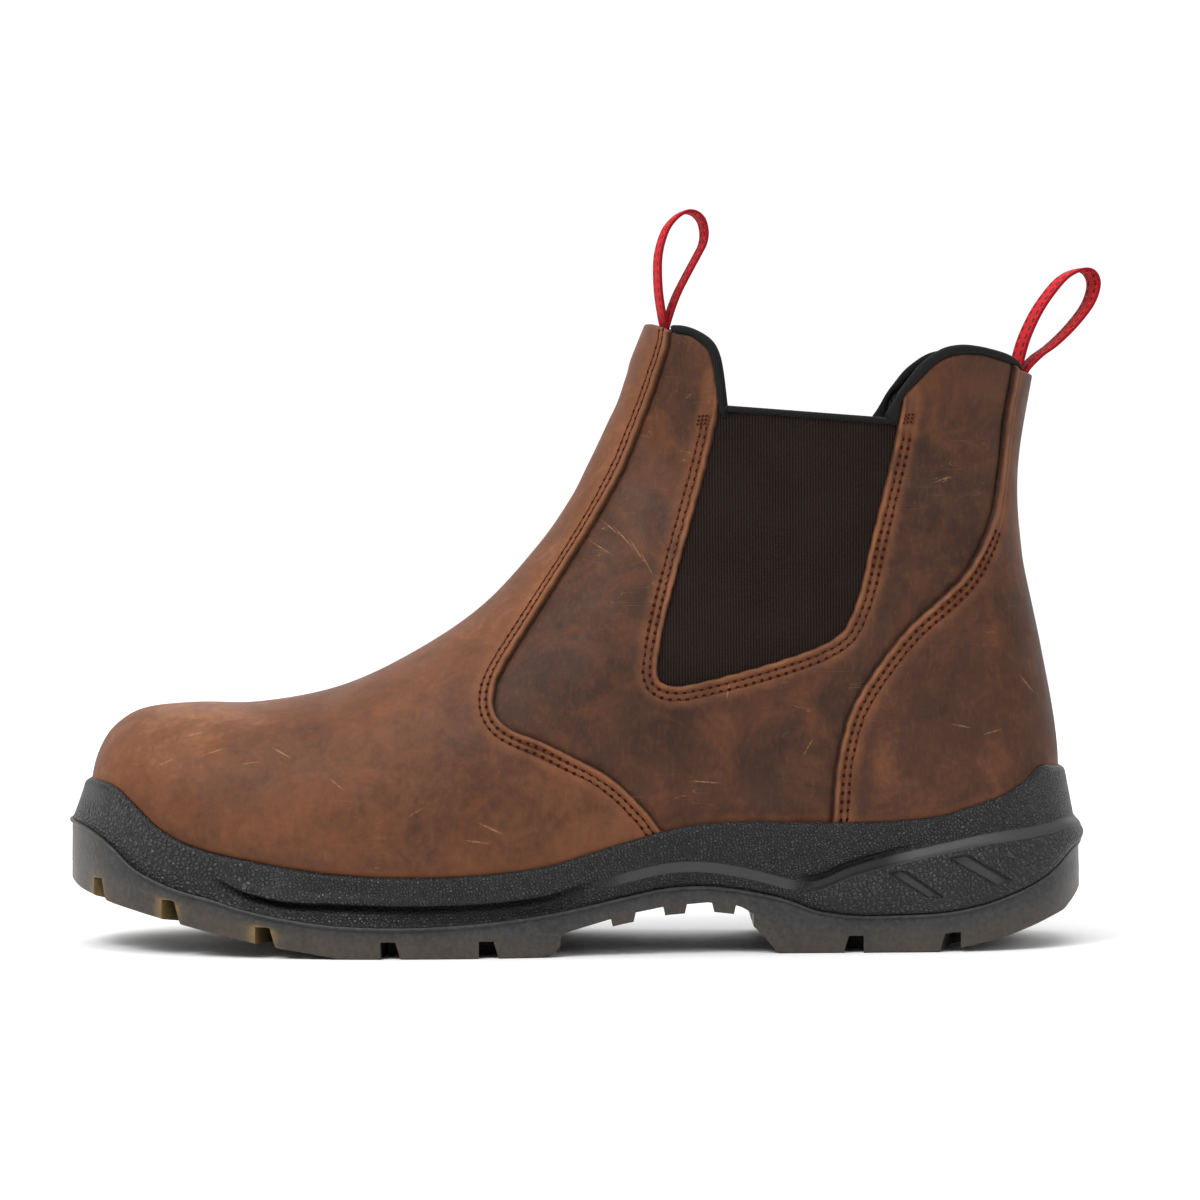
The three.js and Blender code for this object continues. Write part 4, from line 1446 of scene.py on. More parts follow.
VAMP_PATCHES = [
    Patch((-226, 62), (26, 18), 0.20), Patch((-204, 71), (20, 7), 0.20, -5),
    Patch((-170, 46), (30, 10), 0.02), Patch((-140, 88), (26, 10), 0.10, 28),
    Patch((-150, 40), (26, 12), -0.08), Patch((-128, 58), (18, 12), -0.07),
    Patch((-108, 104), (14, 26), 0.10, -40), Patch((-90, 150), (10, 26), 0.10, -25),
    Patch((-122, 70), (12, 10), -0.05), Patch((-190, 40), (18, 8), 0.05),
]
QUARTER_PATCHES = [
    Patch((-84, 70), (18, 16), -0.04), Patch((-60, 108), (9, 22), -0.06, -25),
    Patch((-72, 112), (12, 30), -0.09, -30), Patch((-46, 172), (8, 12), 0.10),
    Patch((-50, 165), (9, 20), 0.06), Patch((-52, 70), (16, 5), 0.07, 5),
    Patch((-30, 60), (16, 10), -0.06), Patch((-80, 92), (8, 10), 0.03, -30),
    Patch((6, 150), (13, 10), -0.05), Patch((14, 128), (14, 16), -0.06),
    Patch((4, 104), (10, 16), -0.05), Patch((-6, 60), (10, 16), -0.03),
    Patch((20, 156), (8, 14), 0.06), Patch((-62, 46), (26, 9), 0.07),
    Patch((-88, 118), (8, 16), 0.05, -30), Patch((36, 150), (8, 16), 0.05),
]
COUNTER_PATCHES = [
    Patch((-6, 57), (4, 13), 0.22, -6), Patch((30, 66), (12, 14), 0.04),
    Patch((34, 96), (10, 14), -0.05), Patch((14, 76), (12, 12), -0.04),
    Patch((36, 130), (6, 22), 0.08), Patch((22, 52), (18, 8), 0.09), Patch((40, 84), (4, 12), 0.08),
]


@dataclass(frozen=True)
class Look:
    """How one leather panel is toned, worn and turned over the collar.

    Attributes:
        tone: its tone, from 0 dark to 1 light.
        patches: what is lighter or darker on it.
        ridge, band, hem: how light its fold, its sewn band and its lower edge are.
        tuck: how far its collar edge turns in.
        rise: where the fold's light starts and is full, in millimetres from the edge.
        fall: where it ends, in the same way.
        band_end: where the band's light ends.
        hem_end: where the lower edge's light ends, over the rim.
        folds: how much of the listed folds it takes up.
    """

    tone: float
    patches: list[Patch]
    ridge: float
    band: float
    hem: float
    tuck: float
    rise: tuple[float, float] = (0.2, 0.6)
    fall: tuple[float, float] = (1.3, 2.0)
    band_end: float = 8.0
    hem_end: float = 3.0
    folds: float = 1.0

    def wear(self, distance: Array, over_rim: Array) -> Array:
        """How light each point is by its distance from the edge and its height over the rim.

        Args:
            distance: distances from the edge.
            over_rim: heights over the rim.

        Returns:
            From 0 to 1 for each point.
        """
        full, gone = (self.rise[0] * MM, self.rise[1] * MM), (self.fall[0] * MM, self.fall[1] * MM)
        ridge = ramp(distance, *full) * (1 - ramp(distance, *gone))
        band = self.band * ramp(distance, 1.7 * MM, 2.2 * MM)
        band = band * (1 - ramp(distance, 4.8 * MM, self.band_end * MM))
        hem = self.hem * (1 - ramp(over_rim, 0.5 * MM, self.hem_end * MM))
        return np.clip(np.maximum(self.ridge * ridge, band) + hem, 0, 1)


QUARTER_LOOK = Look(
    0.325, QUARTER_PATCHES, 0.9, 0.45, 0.5, 1.7 * MM, (0.1, 0.5), (1.3, 2.1), band_end=7.5
)
VAMP_LOOK = Look(0.575, VAMP_PATCHES, 0.8, 0.4, 0.6, 1.5 * MM, hem_end=3.5)
COUNTER_LOOK = Look(0.385, COUNTER_PATCHES, 0.9, 0.45, 0.5, 1.8 * MM, folds=0.8)
# Distances from the collar's edge and from the covered seams that the panels are cut along
COLLAR_CUTS = [0.1 * MM, 0.3 * MM, 0.6 * MM, 0.9 * MM]
SEAM_CUTS = [-0.4 * MM, 0.4 * MM, 1.0 * MM, 2.0 * MM]
# Heights that the sewn rows end at, and the height of the lowest tack line
VAMP_ROW_TOP = 188 * MM
WINDOW_ROW_TOP = 157.5 * MM
COUNTER_ROW_TOP = 128 * MM
TACK_HEIGHT = 159 * MM


@dataclass
class Profile:
    """The height of a panel by the distance from its edge, both in millimetres."""

    rows: list[tuple[float, float]]

    def at(self, distance: Array | float) -> Array:
        """The height in metres at distances in metres."""
        table = np.array(self.rows) * MM
        return np.interp(distance, table[:, 0], table[:, 1])

    def levels(self) -> list[float]:
        """The distances that the mesh is cut along."""
        return [row[0] * MM for row in self.rows[1:]]


@dataclass
class Upper:
    """The leather panels, their seams and the lining.

    Attributes:
        last: the form below them.
        vamp: height over the quarters, by the distance from the vamp's folded edge.
        flange: height of the quarter beside the elastic's window.
        counter: height of the counter by the distance from its edge.
        below_rim: how far the panels go down behind the sole's rim.
        hand: how far the cut edges wander from their lines.
    """

    last: Last
    vamp: Profile = field(default_factory=lambda: Profile([
        (0, -0.3), (0.12, 0.7), (0.35, 1.3), (0.75, 1.66), (1.2, 1.66), (1.7, 1.22), (2.3, 0.98),
        (2.8, 1.1), (3.3, 1.18), (3.8, 1.1), (4.3, 1.0), (4.9, 1.22), (6.0, 1.38), (8.0, 1.4),
    ]))
    flange: Profile = field(default_factory=lambda: Profile([
        (0, -1.4), (0.1, -0.6), (0.3, 0.05), (0.7, 0.36), (1.2, 0.32), (1.7, 0.02), (2.2, -0.2),
        (2.8, -0.06), (3.4, 0.0), (3.9, -0.1), (4.3, -0.2), (4.9, 0.0), (6.0, 0.08), (8.0, 0.0),
    ]))
    counter: Profile = field(default_factory=lambda: Profile([
        (0, -0.2), (0.12, 0.85), (0.35, 1.45), (0.8, 1.78), (1.3, 1.75), (1.8, 1.48), (2.4, 1.32),
        (2.9, 1.42), (3.4, 1.5), (3.9, 1.42), (4.4, 1.34), (5.0, 1.55), (6.2, 1.7), (8.0, 1.7),
    ]))
    below_rim: float = 7 * MM
    hand: float = 0.09 * MM

    def __post_init__(self) -> None:
        """Measures the form from every outline of the panels."""
        low, high = -0.02, 0.215
        far, rear = -0.4, 0.3
        self.vamp_line = side_line(VAMP_EDGE, 140)
        self.counter_line = side_line(COUNTER_EDGE, 140)
        self.gore_line = side_line(GORE_EDGE, 160)
        self.front_line = side_line(COLLAR_FRONT, 60)
        self.rear_line = side_line(COLLAR_REAR, 60)
        skin = self.last.skin
        skin.measured("vamp", np.vstack([self.vamp_line, [[far, low], [far, high]]]))
        skin.measured("counter", np.vstack([self.counter_line, [[rear, low], [rear, high]]]))
        skin.measured("window", self.gore_line)
        skin.measured("mouth", np.vstack([
            self.front_line, self.rear_line,
            [[rear, self.rear_line[-1, 1]], [rear, high], [far, high], [far, self.front_line[0, 1]]],
        ]))
        x, z = skin.points[:, 0], skin.points[:, 2]
        wave = np.sin(x * 900 + z * 700) + 0.7 * np.sin(x * 1500 - z * 1250 + 1)
        for name in ("vamp", "counter", "window"):
            skin.values[name] = skin.values[name] + self.hand * wave
        along = (SOLE_BACK - skin.points[:, 0]) / SOLE_LENGTH
        rim = smooth_at(SIDE_ROWS, along, 1) * SIDE_HEIGHT
        skin.values["rise"] = skin.points[:, 2] - rim
        for name in ("vamp", "counter", "window", "mouth"):
            skin.values[f"off_{name}"] = -skin.values[name]

    def panel(self, keep: Iterable[tuple[str, float]], rows: Iterable[tuple[str, list[float]]]) -> Skin:
        """A part of the form with extra rows of corners.

        Args:
            keep: values and the levels that the panel lies above.
            rows: values and the levels that the mesh is cut along.

        Returns:
            The panel, still on the form.
        """
        skin = self.last.skin
        for name, level in keep:
            skin = skin.split(name, level, keep_below=False)
        for name, levels in rows:
            for level in levels:
                skin = skin.split(name, level)
        return skin

    def folded(self, skin: Skin) -> Array:
        """What the listed folds add to the height."""
        return sum((fold.height(skin.points) for fold in FOLDS), np.zeros(len(skin.points)))

    def rounded(self, skin: Skin, depth: float) -> Array:
        """How far a panel sinks where it turns over the collar."""
        near = np.clip(skin.values["off_mouth"] / (0.9 * MM), 0, 1)
        return depth * (1 - np.sqrt(1 - (1 - near) ** 2))

    def quarters(self, leather: Material) -> Object:
        """The two quarters, under the vamp and the counter.

        Args:
            leather: its material.

        Returns:
            The piece.
        """
        skin = self.last.skin
        under = np.maximum(9 * MM - skin.values["vamp"], skin.points[:, 2] - 0.150)
        skin.values["under"] = under
        skin = self.panel(
            [("off_mouth", 0), ("off_window", 0), ("rise", -self.below_rim), ("under", 0)],
            [
                ("off_window", self.flange.levels()),
                ("off_vamp", SEAM_CUTS),
                ("off_counter", SEAM_CUTS),
                ("off_mouth", COLLAR_CUTS),
            ],
        )
        seam = np.minimum(np.abs(skin.values["off_vamp"]), np.abs(skin.values["off_counter"]))
        trough = -0.45 * MM * np.exp(-((seam / (1.0 * MM)) ** 2))
        height = self.flange.at(skin.values["off_window"]) + trough + self.folded(skin)
        height -= self.rounded(skin, QUARTER_LOOK.tuck)
        skin.values = {
            "tone": tones(skin.points, QUARTER_LOOK.tone, QUARTER_LOOK.patches),
            "edge": QUARTER_LOOK.wear(skin.values["off_window"], skin.values["rise"]),
            # groove: painted shade in the trough where the vamp and the counter lap the quarters.
            "groove": 0.85 * np.exp(-((seam / (0.55 * MM)) ** 2)),
        }
        return settle(build("quarters", skin.raised(height), leather), Finish.LEATHER, "upper")

    def lapped(
        self, name: str, key: str, profile: Profile, look: Look, leather: Material, node: str
    ) -> Object:
        """A panel whose folded edge lies on the quarters.

        Args:
            name: name of the piece.
            key: the distance from its edge.
            profile: its height by that distance.
            look: how it is toned.
            leather: its material.
            node: the solid that it stands for.

        Returns:
            The piece.
        """
        skin = self.panel(
            [("off_mouth", 0), (key, 0), ("rise", -self.below_rim)],
            [(key, profile.levels()), ("off_mouth", COLLAR_CUTS)],
        )
        distance = skin.values[key]
        height = profile.at(distance) + look.folds * self.folded(skin)
        height -= self.rounded(skin, look.tuck)
        skin.values = {
            "tone": tones(skin.points, look.tone, look.patches),
            "edge": look.wear(distance, skin.values["rise"]),
            # groove: painted shade along the turned-down edge, where it meets the quarters.
            "groove": 0.8 * (1 - ramp(distance, 0.0, 0.35 * MM)),
        }
        return settle(build(name, skin.raised(height), leather), Finish.LEATHER, node)

    def front(self, leather: Material) -> Object:
        """The vamp with its strip up to the collar."""
        return self.lapped("vamp", "vamp", self.vamp, VAMP_LOOK, leather, "upper")

    def heel(self, leather: Material) -> Object:
        """The counter with the back strip."""
        return self.lapped("counter", "counter", self.counter, COUNTER_LOOK, leather, "heel_counter")

    def lining(self, cloth: Material) -> Object:
        """The inside of the boot, turned inwards.

        Args:
            cloth: its material.

        Returns:
            The piece.
        """
        skin = self.panel([("off_mouth", 0.3 * MM)], [("off_mouth", [0.6 * MM, 1.1 * MM, 1.8 * MM])])
        near = np.clip((skin.values["off_mouth"] - 0.3 * MM) / (1.5 * MM), 0, 1)
        height = -WALL + 1.0 * MM * (1 - np.sqrt(1 - (1 - near) ** 2))
        skin.values = {}
        piece = build("lining", skin.raised(height), cloth, flip=True)
        return settle(piece, Finish.LINING, "upper")

    def rows(self) -> list[tuple[Array, float]]:
        """The sewn rows on the form and the height that each lies at.

        Returns:
            Lines and heights.
        """
        seams = (
            (self.vamp_line, VAMP_ROW_TOP, (2.3, 4.3), 1, self.vamp),
            (self.gore_line, WINDOW_ROW_TOP, (2.2, 4.3), 1, self.flange),
            (self.counter_line, COUNTER_ROW_TOP, (2.4, 4.4), -1, self.counter),
        )
        found = []
        for side in Side:
            for line, top, shifts, way, profile in seams:
                seam = self.last.onto(evenly(line[line[:, 1] < top], 1.5 * MM), side)
                for shift in shifts:
                    moved = self.last.beside(seam, way * shift * MM, side)
                    found.append((moved, float(profile.at(shift * MM))))
        return found

    def tacks(self) -> list[tuple[Array, float]]:
        """Short sewn lines across the tops of the rows beside the window.

        Returns:
            Lines and heights.
        """
        found = []
        middle = (self.gore_line[:, 0].min() + self.gore_line[:, 0].max()) / 2
        for end in (-1, 1):
            edge = self.gore_line[(self.gore_line[:, 0] - middle) * end > 5 * MM]
            edge = edge[np.argsort(edge[:, 1])]
            for k in range(3):
                height = TACK_HEIGHT + k * 1.15 * MM
                x = float(np.interp(height, edge[:, 1], edge[:, 0])) + end * 3.3 * MM
                line = np.array([[x - 1.7 * MM, height], [x, height + 0.3 * MM], [x + 1.7 * MM, height]])
                found += [(self.last.onto(line, side), 0.05 * MM) for side in Side]
        return found


@dataclass
class Sewing:
    """Rows of stitches with their needle holes.

    Attributes:
        pitch: length of a stitch with its gap.
        thread: radius of the thread.
        hole: radius of a needle hole.
    """

    pitch: float = 2.6 * MM
    thread: float = 0.25 * MM
    hole: float = 0.55 * MM

    def frames(self, last: Last, row: Array, height: float) -> Iterable[tuple[Array, ...]]:
        """Start, end and outward direction of each stitch of a row.

        Args:
            last: the form.
            row: the row on it.
            height: its height.

        Yields:
            Start, end and direction, one stitch at a time.
        """
        line = evenly(row, self.pitch)
        lifted = []
        for point in line:
            place, normal = last.near(point)
            lifted.append((place + normal * height, normal))
        for (start, up), (end, _) in zip(lifted, lifted[1:]):
            yield start, end, up

    def sew(self, last: Last, rows: list[tuple[Array, float]]) -> tuple[Skin, Skin]:
        """All the threads and all the holes.

        Args:
            last: the form that the rows lie on.
            rows: lines on the form and their heights.

        Returns:
            The threads' mesh and the holes' mesh.
        """
        thread_points, thread_faces, hole_points, hole_faces = [], [], [], []
        stations = np.array([0.13, 0.25, 0.5, 0.75, 0.87])
        lifts = np.array([-0.30, 0.02, 0.16, 0.02, -0.30]) * MM
        wide = np.array([0.55, 1.0, 1.08, 1.0, 0.55]) * self.thread
        ring = np.linspace(0, 2 * np.pi, 6, endpoint=False)
        disc = np.linspace(0, 2 * np.pi, 8, endpoint=False)
        for row, height in rows:
            for start, end, up in self.frames(last, row, height):
                along = (end - start) / max(np.linalg.norm(end - start), 1e-9)
                side = np.cross(up, along)
                base = len(thread_points)
                for at, lift, radius in zip(stations, lifts, wide):
                    middle = start + (end - start) * at + up * lift
                    for angle in ring:
                        out = side * radius * math.cos(angle)
                        thread_points.append(middle + out + up * radius * math.sin(angle))
                for i in range(4):
                    for j in range(6):
                        k = (j + 1) % 6
                        a = base + i * 6
                        thread_faces.append((a + j, a + j + 6, a + k + 6, a + k))
                thread_faces.append(tuple(base + j for j in range(6)))
                thread_faces.append(tuple(base + 29 - j for j in range(6)))
                # Each needle hole is a dark disc on the leather: painted shade of the hole.
                base = len(hole_points)
                hole_points.append(start + up * 0.02 * MM)
                for angle in disc:
                    hole_points.append(
                        start + up * 0.14 * MM
                        + (along * math.cos(angle) * 1.25 + side * math.sin(angle)) * self.hole
                    )
                for j in range(8):
                    hole_faces.append((base, base + 1 + j, base + 1 + (j + 1) % 8))
        threads, holes = np.array(thread_points), np.array(hole_points)
        return (
            Skin(threads, np.zeros_like(threads), thread_faces),
            Skin(holes, np.zeros_like(holes), hole_faces),
        )

    def make(self, upper: Upper, thread: Material, dark: Material) -> list[Object]:
        """The rows and the bartacks at the top of the elastic's window.

        Args:
            upper: the upper.
            thread: the thread's material.
            dark: the holes' material, a dark colour painted as the shade inside them.

        Returns:
            The pieces.
        """
        found = []
        for word, sewing, rows in (
            ("", self, upper.rows()),
            ("bartack_", Sewing(pitch=1.15 * MM, thread=0.2 * MM, hole=0.33 * MM), upper.tacks()),
        ):
            threads, holes = sewing.sew(upper.last, rows)
            found.append(settle(build(f"{word}stitches", threads, thread), Finish.LEATHER))
            found.append(settle(build(f"{word}needle_holes", holes, dark), Finish.LEATHER))
        return found


# Elastic, tapes and loops


def sweep(centres: Array, across: Array, up: Array, ring: Array) -> Shape:
    """A closed tube with round ends along a line.

    Args:
        centres: points of the line.
        across, up: the two directions of the section at each point, scaled.
        ring: the section's points in those directions.

    Returns:
        Corners and faces.
    """
    shares = np.r_[0.45, 0.8, np.ones(len(centres) - 2), 0.8, 0.45]
    way = np.gradient(centres, axis=0)
    way /= np.linalg.norm(way, axis=1)[:, None]
    spots = np.r_[centres[:1], centres, centres[-1:]]
    size = np.linalg.norm(across, axis=1)
    spots[0] = centres[0] - way[0] * size[0] * 0.35
    spots[-1] = centres[-1] + way[-1] * size[-1] * 0.35
    across, up = (np.r_[one[:1], one, one[-1:]] for one in (across, up))
    rings = (
        spots[:, None, :]
        + across[:, None, :] * ring[None, :, :1] * shares[:, None, None]
        + up[:, None, :] * ring[None, :, 1:] * shares[:, None, None]
    )
    points, faces = ring_mesh(rings)
    count = len(ring)
    faces.append(tuple(range(count - 1, -1, -1)))
    faces.append(tuple(range(len(points) - count, len(points))))
    return points, faces


def oval(count: int, square: float) -> Array:
    """A closed unit section, rounder where square is near 2.

    Args:
        count: how many points.
        square: how square it is.

    Returns:
        The points.
    """
    angle = np.linspace(0, 2 * np.pi, count, endpoint=False)
    cosine, sine = np.cos(angle), np.sin(angle)
    power = 2 / square
    return np.c_[np.sign(cosine) * np.abs(cosine) ** power, np.sign(sine) * np.abs(sine) ** power]


def outward(piece: Object, merge: bool = True) -> None:
    """Turns a closed piece's faces outwards with the edit-mode tools.

    Args:
        piece: the piece.
        merge: whether corners that lie on each other become one.
    """
    pick(piece)
    bpy.ops.object.mode_set(mode="EDIT")
    bpy.ops.mesh.select_all(action="SELECT")
    if merge:
        bpy.ops.mesh.remove_doubles(threshold=1e-6)
    bpy.ops.mesh.normals_make_consistent(inside=False)
    bpy.ops.object.mode_set(mode="OBJECT")


def solid(
    name: str,
    shape: Shape,
    material: Material,
    values: dict[str, Array] | None = None,
    merge: bool = True,
) -> Object:
    """A closed piece from its corners and faces, turned outwards.

    Args:
        name: name of the piece.
        shape: its corners and faces.
        material: its material.
        values: numbers for its corners, by name.
        merge: whether corners that lie on each other become one.

    Returns:
        The piece.
    """
    points, faces = shape
    piece = build(name, Skin(points, points * 0, faces, values or {}), material)
    outward(piece, merge)
    return piece


@dataclass
class Gore:
    """The elastic panel of one side with the tape on its top edge.

    Attributes:
        upper: the upper that it is sewn into.
        side: its side.
        set_back: how far its face lies behind the leather.
        under: how far it runs on under the flange.
        tape_half: half the height of the tape.
        tape_deep: half the thickness of the tape.
    """

    upper: Upper
    side: Side
    set_back: float = 1.0 * MM
    under: float = 1.2 * MM
    tape_half: float = 0.95 * MM
    tape_deep: float = 1.75 * MM

    def panel(self, elastic: Material) -> Object:
        """The ribbed elastic, swelling a little between its seams.

        Args:
            elastic: its material.

        Returns:
            The piece.
        """
        skin = self.upper.last.skin
        front, rear = side_line(GORE_TOP)
        slope = (rear[1] - front[1]) / (rear[0] - front[0])
        top = front[1] + slope * (skin.points[:, 0] - front[0]) - 1.2 * MM
        skin.values["below_top"] = top - skin.points[:, 2]
        skin.values["this_side"] = skin.points[:, 1] * self.side.value
        skin = skin.split("this_side", 5 * MM, keep_below=False)
        skin = skin.split("window", -self.under, keep_below=False)
        skin = skin.split("below_top", 0, keep_below=False)
        for level in (0.3 * MM, 1.0 * MM, 2.0 * MM):
            skin = skin.split("window", level)
        inner = ramp(skin.values["window"], -self.under, 9 * MM)
        wave = np.sin(skin.points[:, 0] / MM * 0.45 + skin.points[:, 2] / MM * 0.05)
        height = -self.set_back - 0.25 * MM + 0.45 * MM * inner + 0.06 * MM * wave * inner
        skin.values = {}
        name = f"gore_{self.side.word}"
        piece = build(f"{name}_panel", skin.raised(height), elastic)
        apply_modifier(piece, "SOLIDIFY", thickness=1.3 * MM, offset=-1.0)
        return settle(piece, Finish.ELASTIC, name)

    def tape(self, cloth: Material) -> Object:
        """The tape over the panel's top edge.

        Args:
            cloth: its material.

        Returns:
            The piece.
        """
        front, rear = side_line(GORE_TOP)
        line = np.linspace(front + [1.2 * MM, 0], rear - [1.2 * MM, 0], 40)
        line[:, 1] -= self.tape_half * 0.9
        centres, across, up = [], [], []
        for point in self.upper.last.onto(line, self.side):
            place, normal = self.upper.last.near(point)
            centres.append(place - normal * (self.tape_deep - 0.35 * MM))
            across.append(normal * self.tape_deep)
            up.append(np.array([0, 0, self.tape_half]))
        tube = sweep(np.array(centres), np.array(across), np.array(up), oval(20, 2.6))
        piece = solid(f"gore_tape_{self.side.word}", tube, cloth)
        return settle(piece, Finish.BINDING, f"gore_binding_{self.side.word}")


@dataclass
class CollarTape:
    """The padded tape round one stretch of the collar.

    Attributes:
        last: the form of the shaft.
        side: its side.
        word: front or rear.
        inner: its lower line, on the leather.
        outer: its upper line.
        lap: how far it laps over the leather.
        deep: half its thickness.
        share: how much of the way between the lines it fills.
    """

    last: Last
    side: Side
    word: str
    inner: list
    outer: list
    lap: float = 0.2 * MM
    deep: float = 1.8 * MM
    share: float = 0.72

    def make(self, cloth: Material) -> Object:
        """The tape.

        Args:
            cloth: its material.

        Returns:
            The piece.
        """
        count = 60
        low = evenly(side_line(self.inner, 80), 0.9 * MM)
        high = evenly(side_line(self.outer, 80), 0.9 * MM)
        at = np.linspace(0, 1, count)

        def spread(line: Array) -> Array:
            """The line with as many points as the tape has."""
            spots, knots = at * (len(line) - 1), np.arange(len(line))
            return np.c_[tuple(np.interp(spots, knots, line[:, k]) for k in (0, 1))]

        low, high = spread(low), spread(high)
        centres, across, up = [], [], []
        lower, higher = self.last.onto(low, self.side), self.last.onto(high, self.side)
        for one, two in zip(lower, higher):
            middle = (one + two) / 2
            _, normal = self.last.near(middle)
            way = (two - one) * self.share
            middle = one + way / 2
            half = np.linalg.norm(way) / 2
            rise = way / (2 * half)
            centres.append(middle - normal * (self.deep - 0.45 * MM))
            across.append(normal * self.deep)
            up.append(rise * (half + self.lap))
        tube = sweep(np.array(centres), np.array(across), np.array(up), oval(24, 2.3))
        piece = solid(f"collar_tape_{self.word}_{self.side.word}", tube, cloth)
        return settle(piece, Finish.BINDING, f"collar_binding_{self.word}_{self.side.word}")


@dataclass
class PullLoop:
    """A folded webbing loop with both tails inside the collar.

    Attributes:
        name: name of the piece and of the solid that it stands for.
        seat: where it leaves the collar, in shares of the upper's sizes.
        line: the middle of the tape in the side view, in millimetres from the seat.
        turn: how far it is turned about the vertical, in degrees.
        wide: width of the tape.
        thick: its thickness.
    """

    name: str
    seat: tuple[float, float]
    line: list[tuple[float, float]]
    turn: float = 8.0
    wide: float = 14 * MM
    thick: float = 1.15 * MM

    def make(self, cloth: Material) -> Object:
        """The loop as a woven tape with soft edges.

        Args:
            cloth: its material.

        Returns:
            The piece.
        """
        base = np.array([
            UPPER_BACK - self.seat[0] * UPPER_LENGTH, 0.0, self.seat[1] * SHAFT_HEIGHT,
        ])
        flat = spline(np.array(self.line) * MM, np.linspace(0, 1, 400))
        flat = evenly(flat, 0.55 * MM)
        way = np.gradient(flat, axis=0)
        way /= np.linalg.norm(way, axis=1)[:, None]
        normal = np.c_[-way[:, 1], way[:, 0]]
        half, thick = self.wide / 2, self.thick / 2
        spots = np.linspace(-1, 1, 15)
        ring = [(half * s, thick * (1 - 0.35 * abs(s) ** 6)) for s in spots]
        ring += [(half * s, -thick * (1 - 0.35 * abs(s) ** 6)) for s in spots[::-1]]
        run = np.r_[0, np.cumsum(np.linalg.norm(np.diff(flat, axis=0), axis=1))]
        rings, runs, sides = [], [], []
        for point, out, at in zip(flat, normal, run):
            rings.append([(point[0] + out[0] * t, y, point[1] + out[1] * t) for y, t in ring])
            runs += [at] * len(ring)
            sides += [y for y, _ in ring]
        points, faces = ring_mesh(np.array(rings))
        faces.append(tuple(range(len(ring))))
        faces.append(tuple(range(len(points) - 1, len(points) - len(ring) - 1, -1)))
        turn = np.array(Matrix.Rotation(math.radians(self.turn), 3, "Z"))
        points = points @ turn.T + base
        values = {"run": np.array(runs), "across": np.array(sides)}
        name = self.name.replace("pull_", "webbing_")
        piece = solid(name, (points, faces), cloth, values, merge=False)
        return settle(piece, Finish.WEBBING, self.name)


FRONT_LOOP = PullLoop(
    "pull_loop_front",
    (0.4025, 0.998),
    [
        (1.8, -9.0), (0.6, -3.0), (-0.7, 3.0), (-1.85, 11.5), (-1.85, 21.0), (0.1, 28.4),
        (2.9, 32.5), (6.3, 34.8), (9.3, 34.6), (11.6, 32.4), (12.5, 28.6), (12.0, 25.0),
        (10.3, 21.6), (7.0, 15.6), (3.8, 9.4), (1.4, 3.0), (-0.2, -3.0), (-0.4, -9.0),
    ],
)
REAR_LOOP = PullLoop(
    "pull_loop_rear",
    (0.030, 0.934),
    [
        (-2.6, -9.0), (-1.9, -3.0), (-0.5, 3.2), (1.3, 8.6), (4.4, 15.0), (7.8, 20.2),
        (12.4, 25.6), (16.5, 28.2), (20.3, 28.8), (22.6, 26.8), (23.0, 23.2), (20.9, 17.8),
        (15.6, 11.2), (9.6, 5.6), (4.6, 2.0), (0.0, -3.0), (-1.2, -9.0),
    ],
    turn=10.0,
)


# Sole


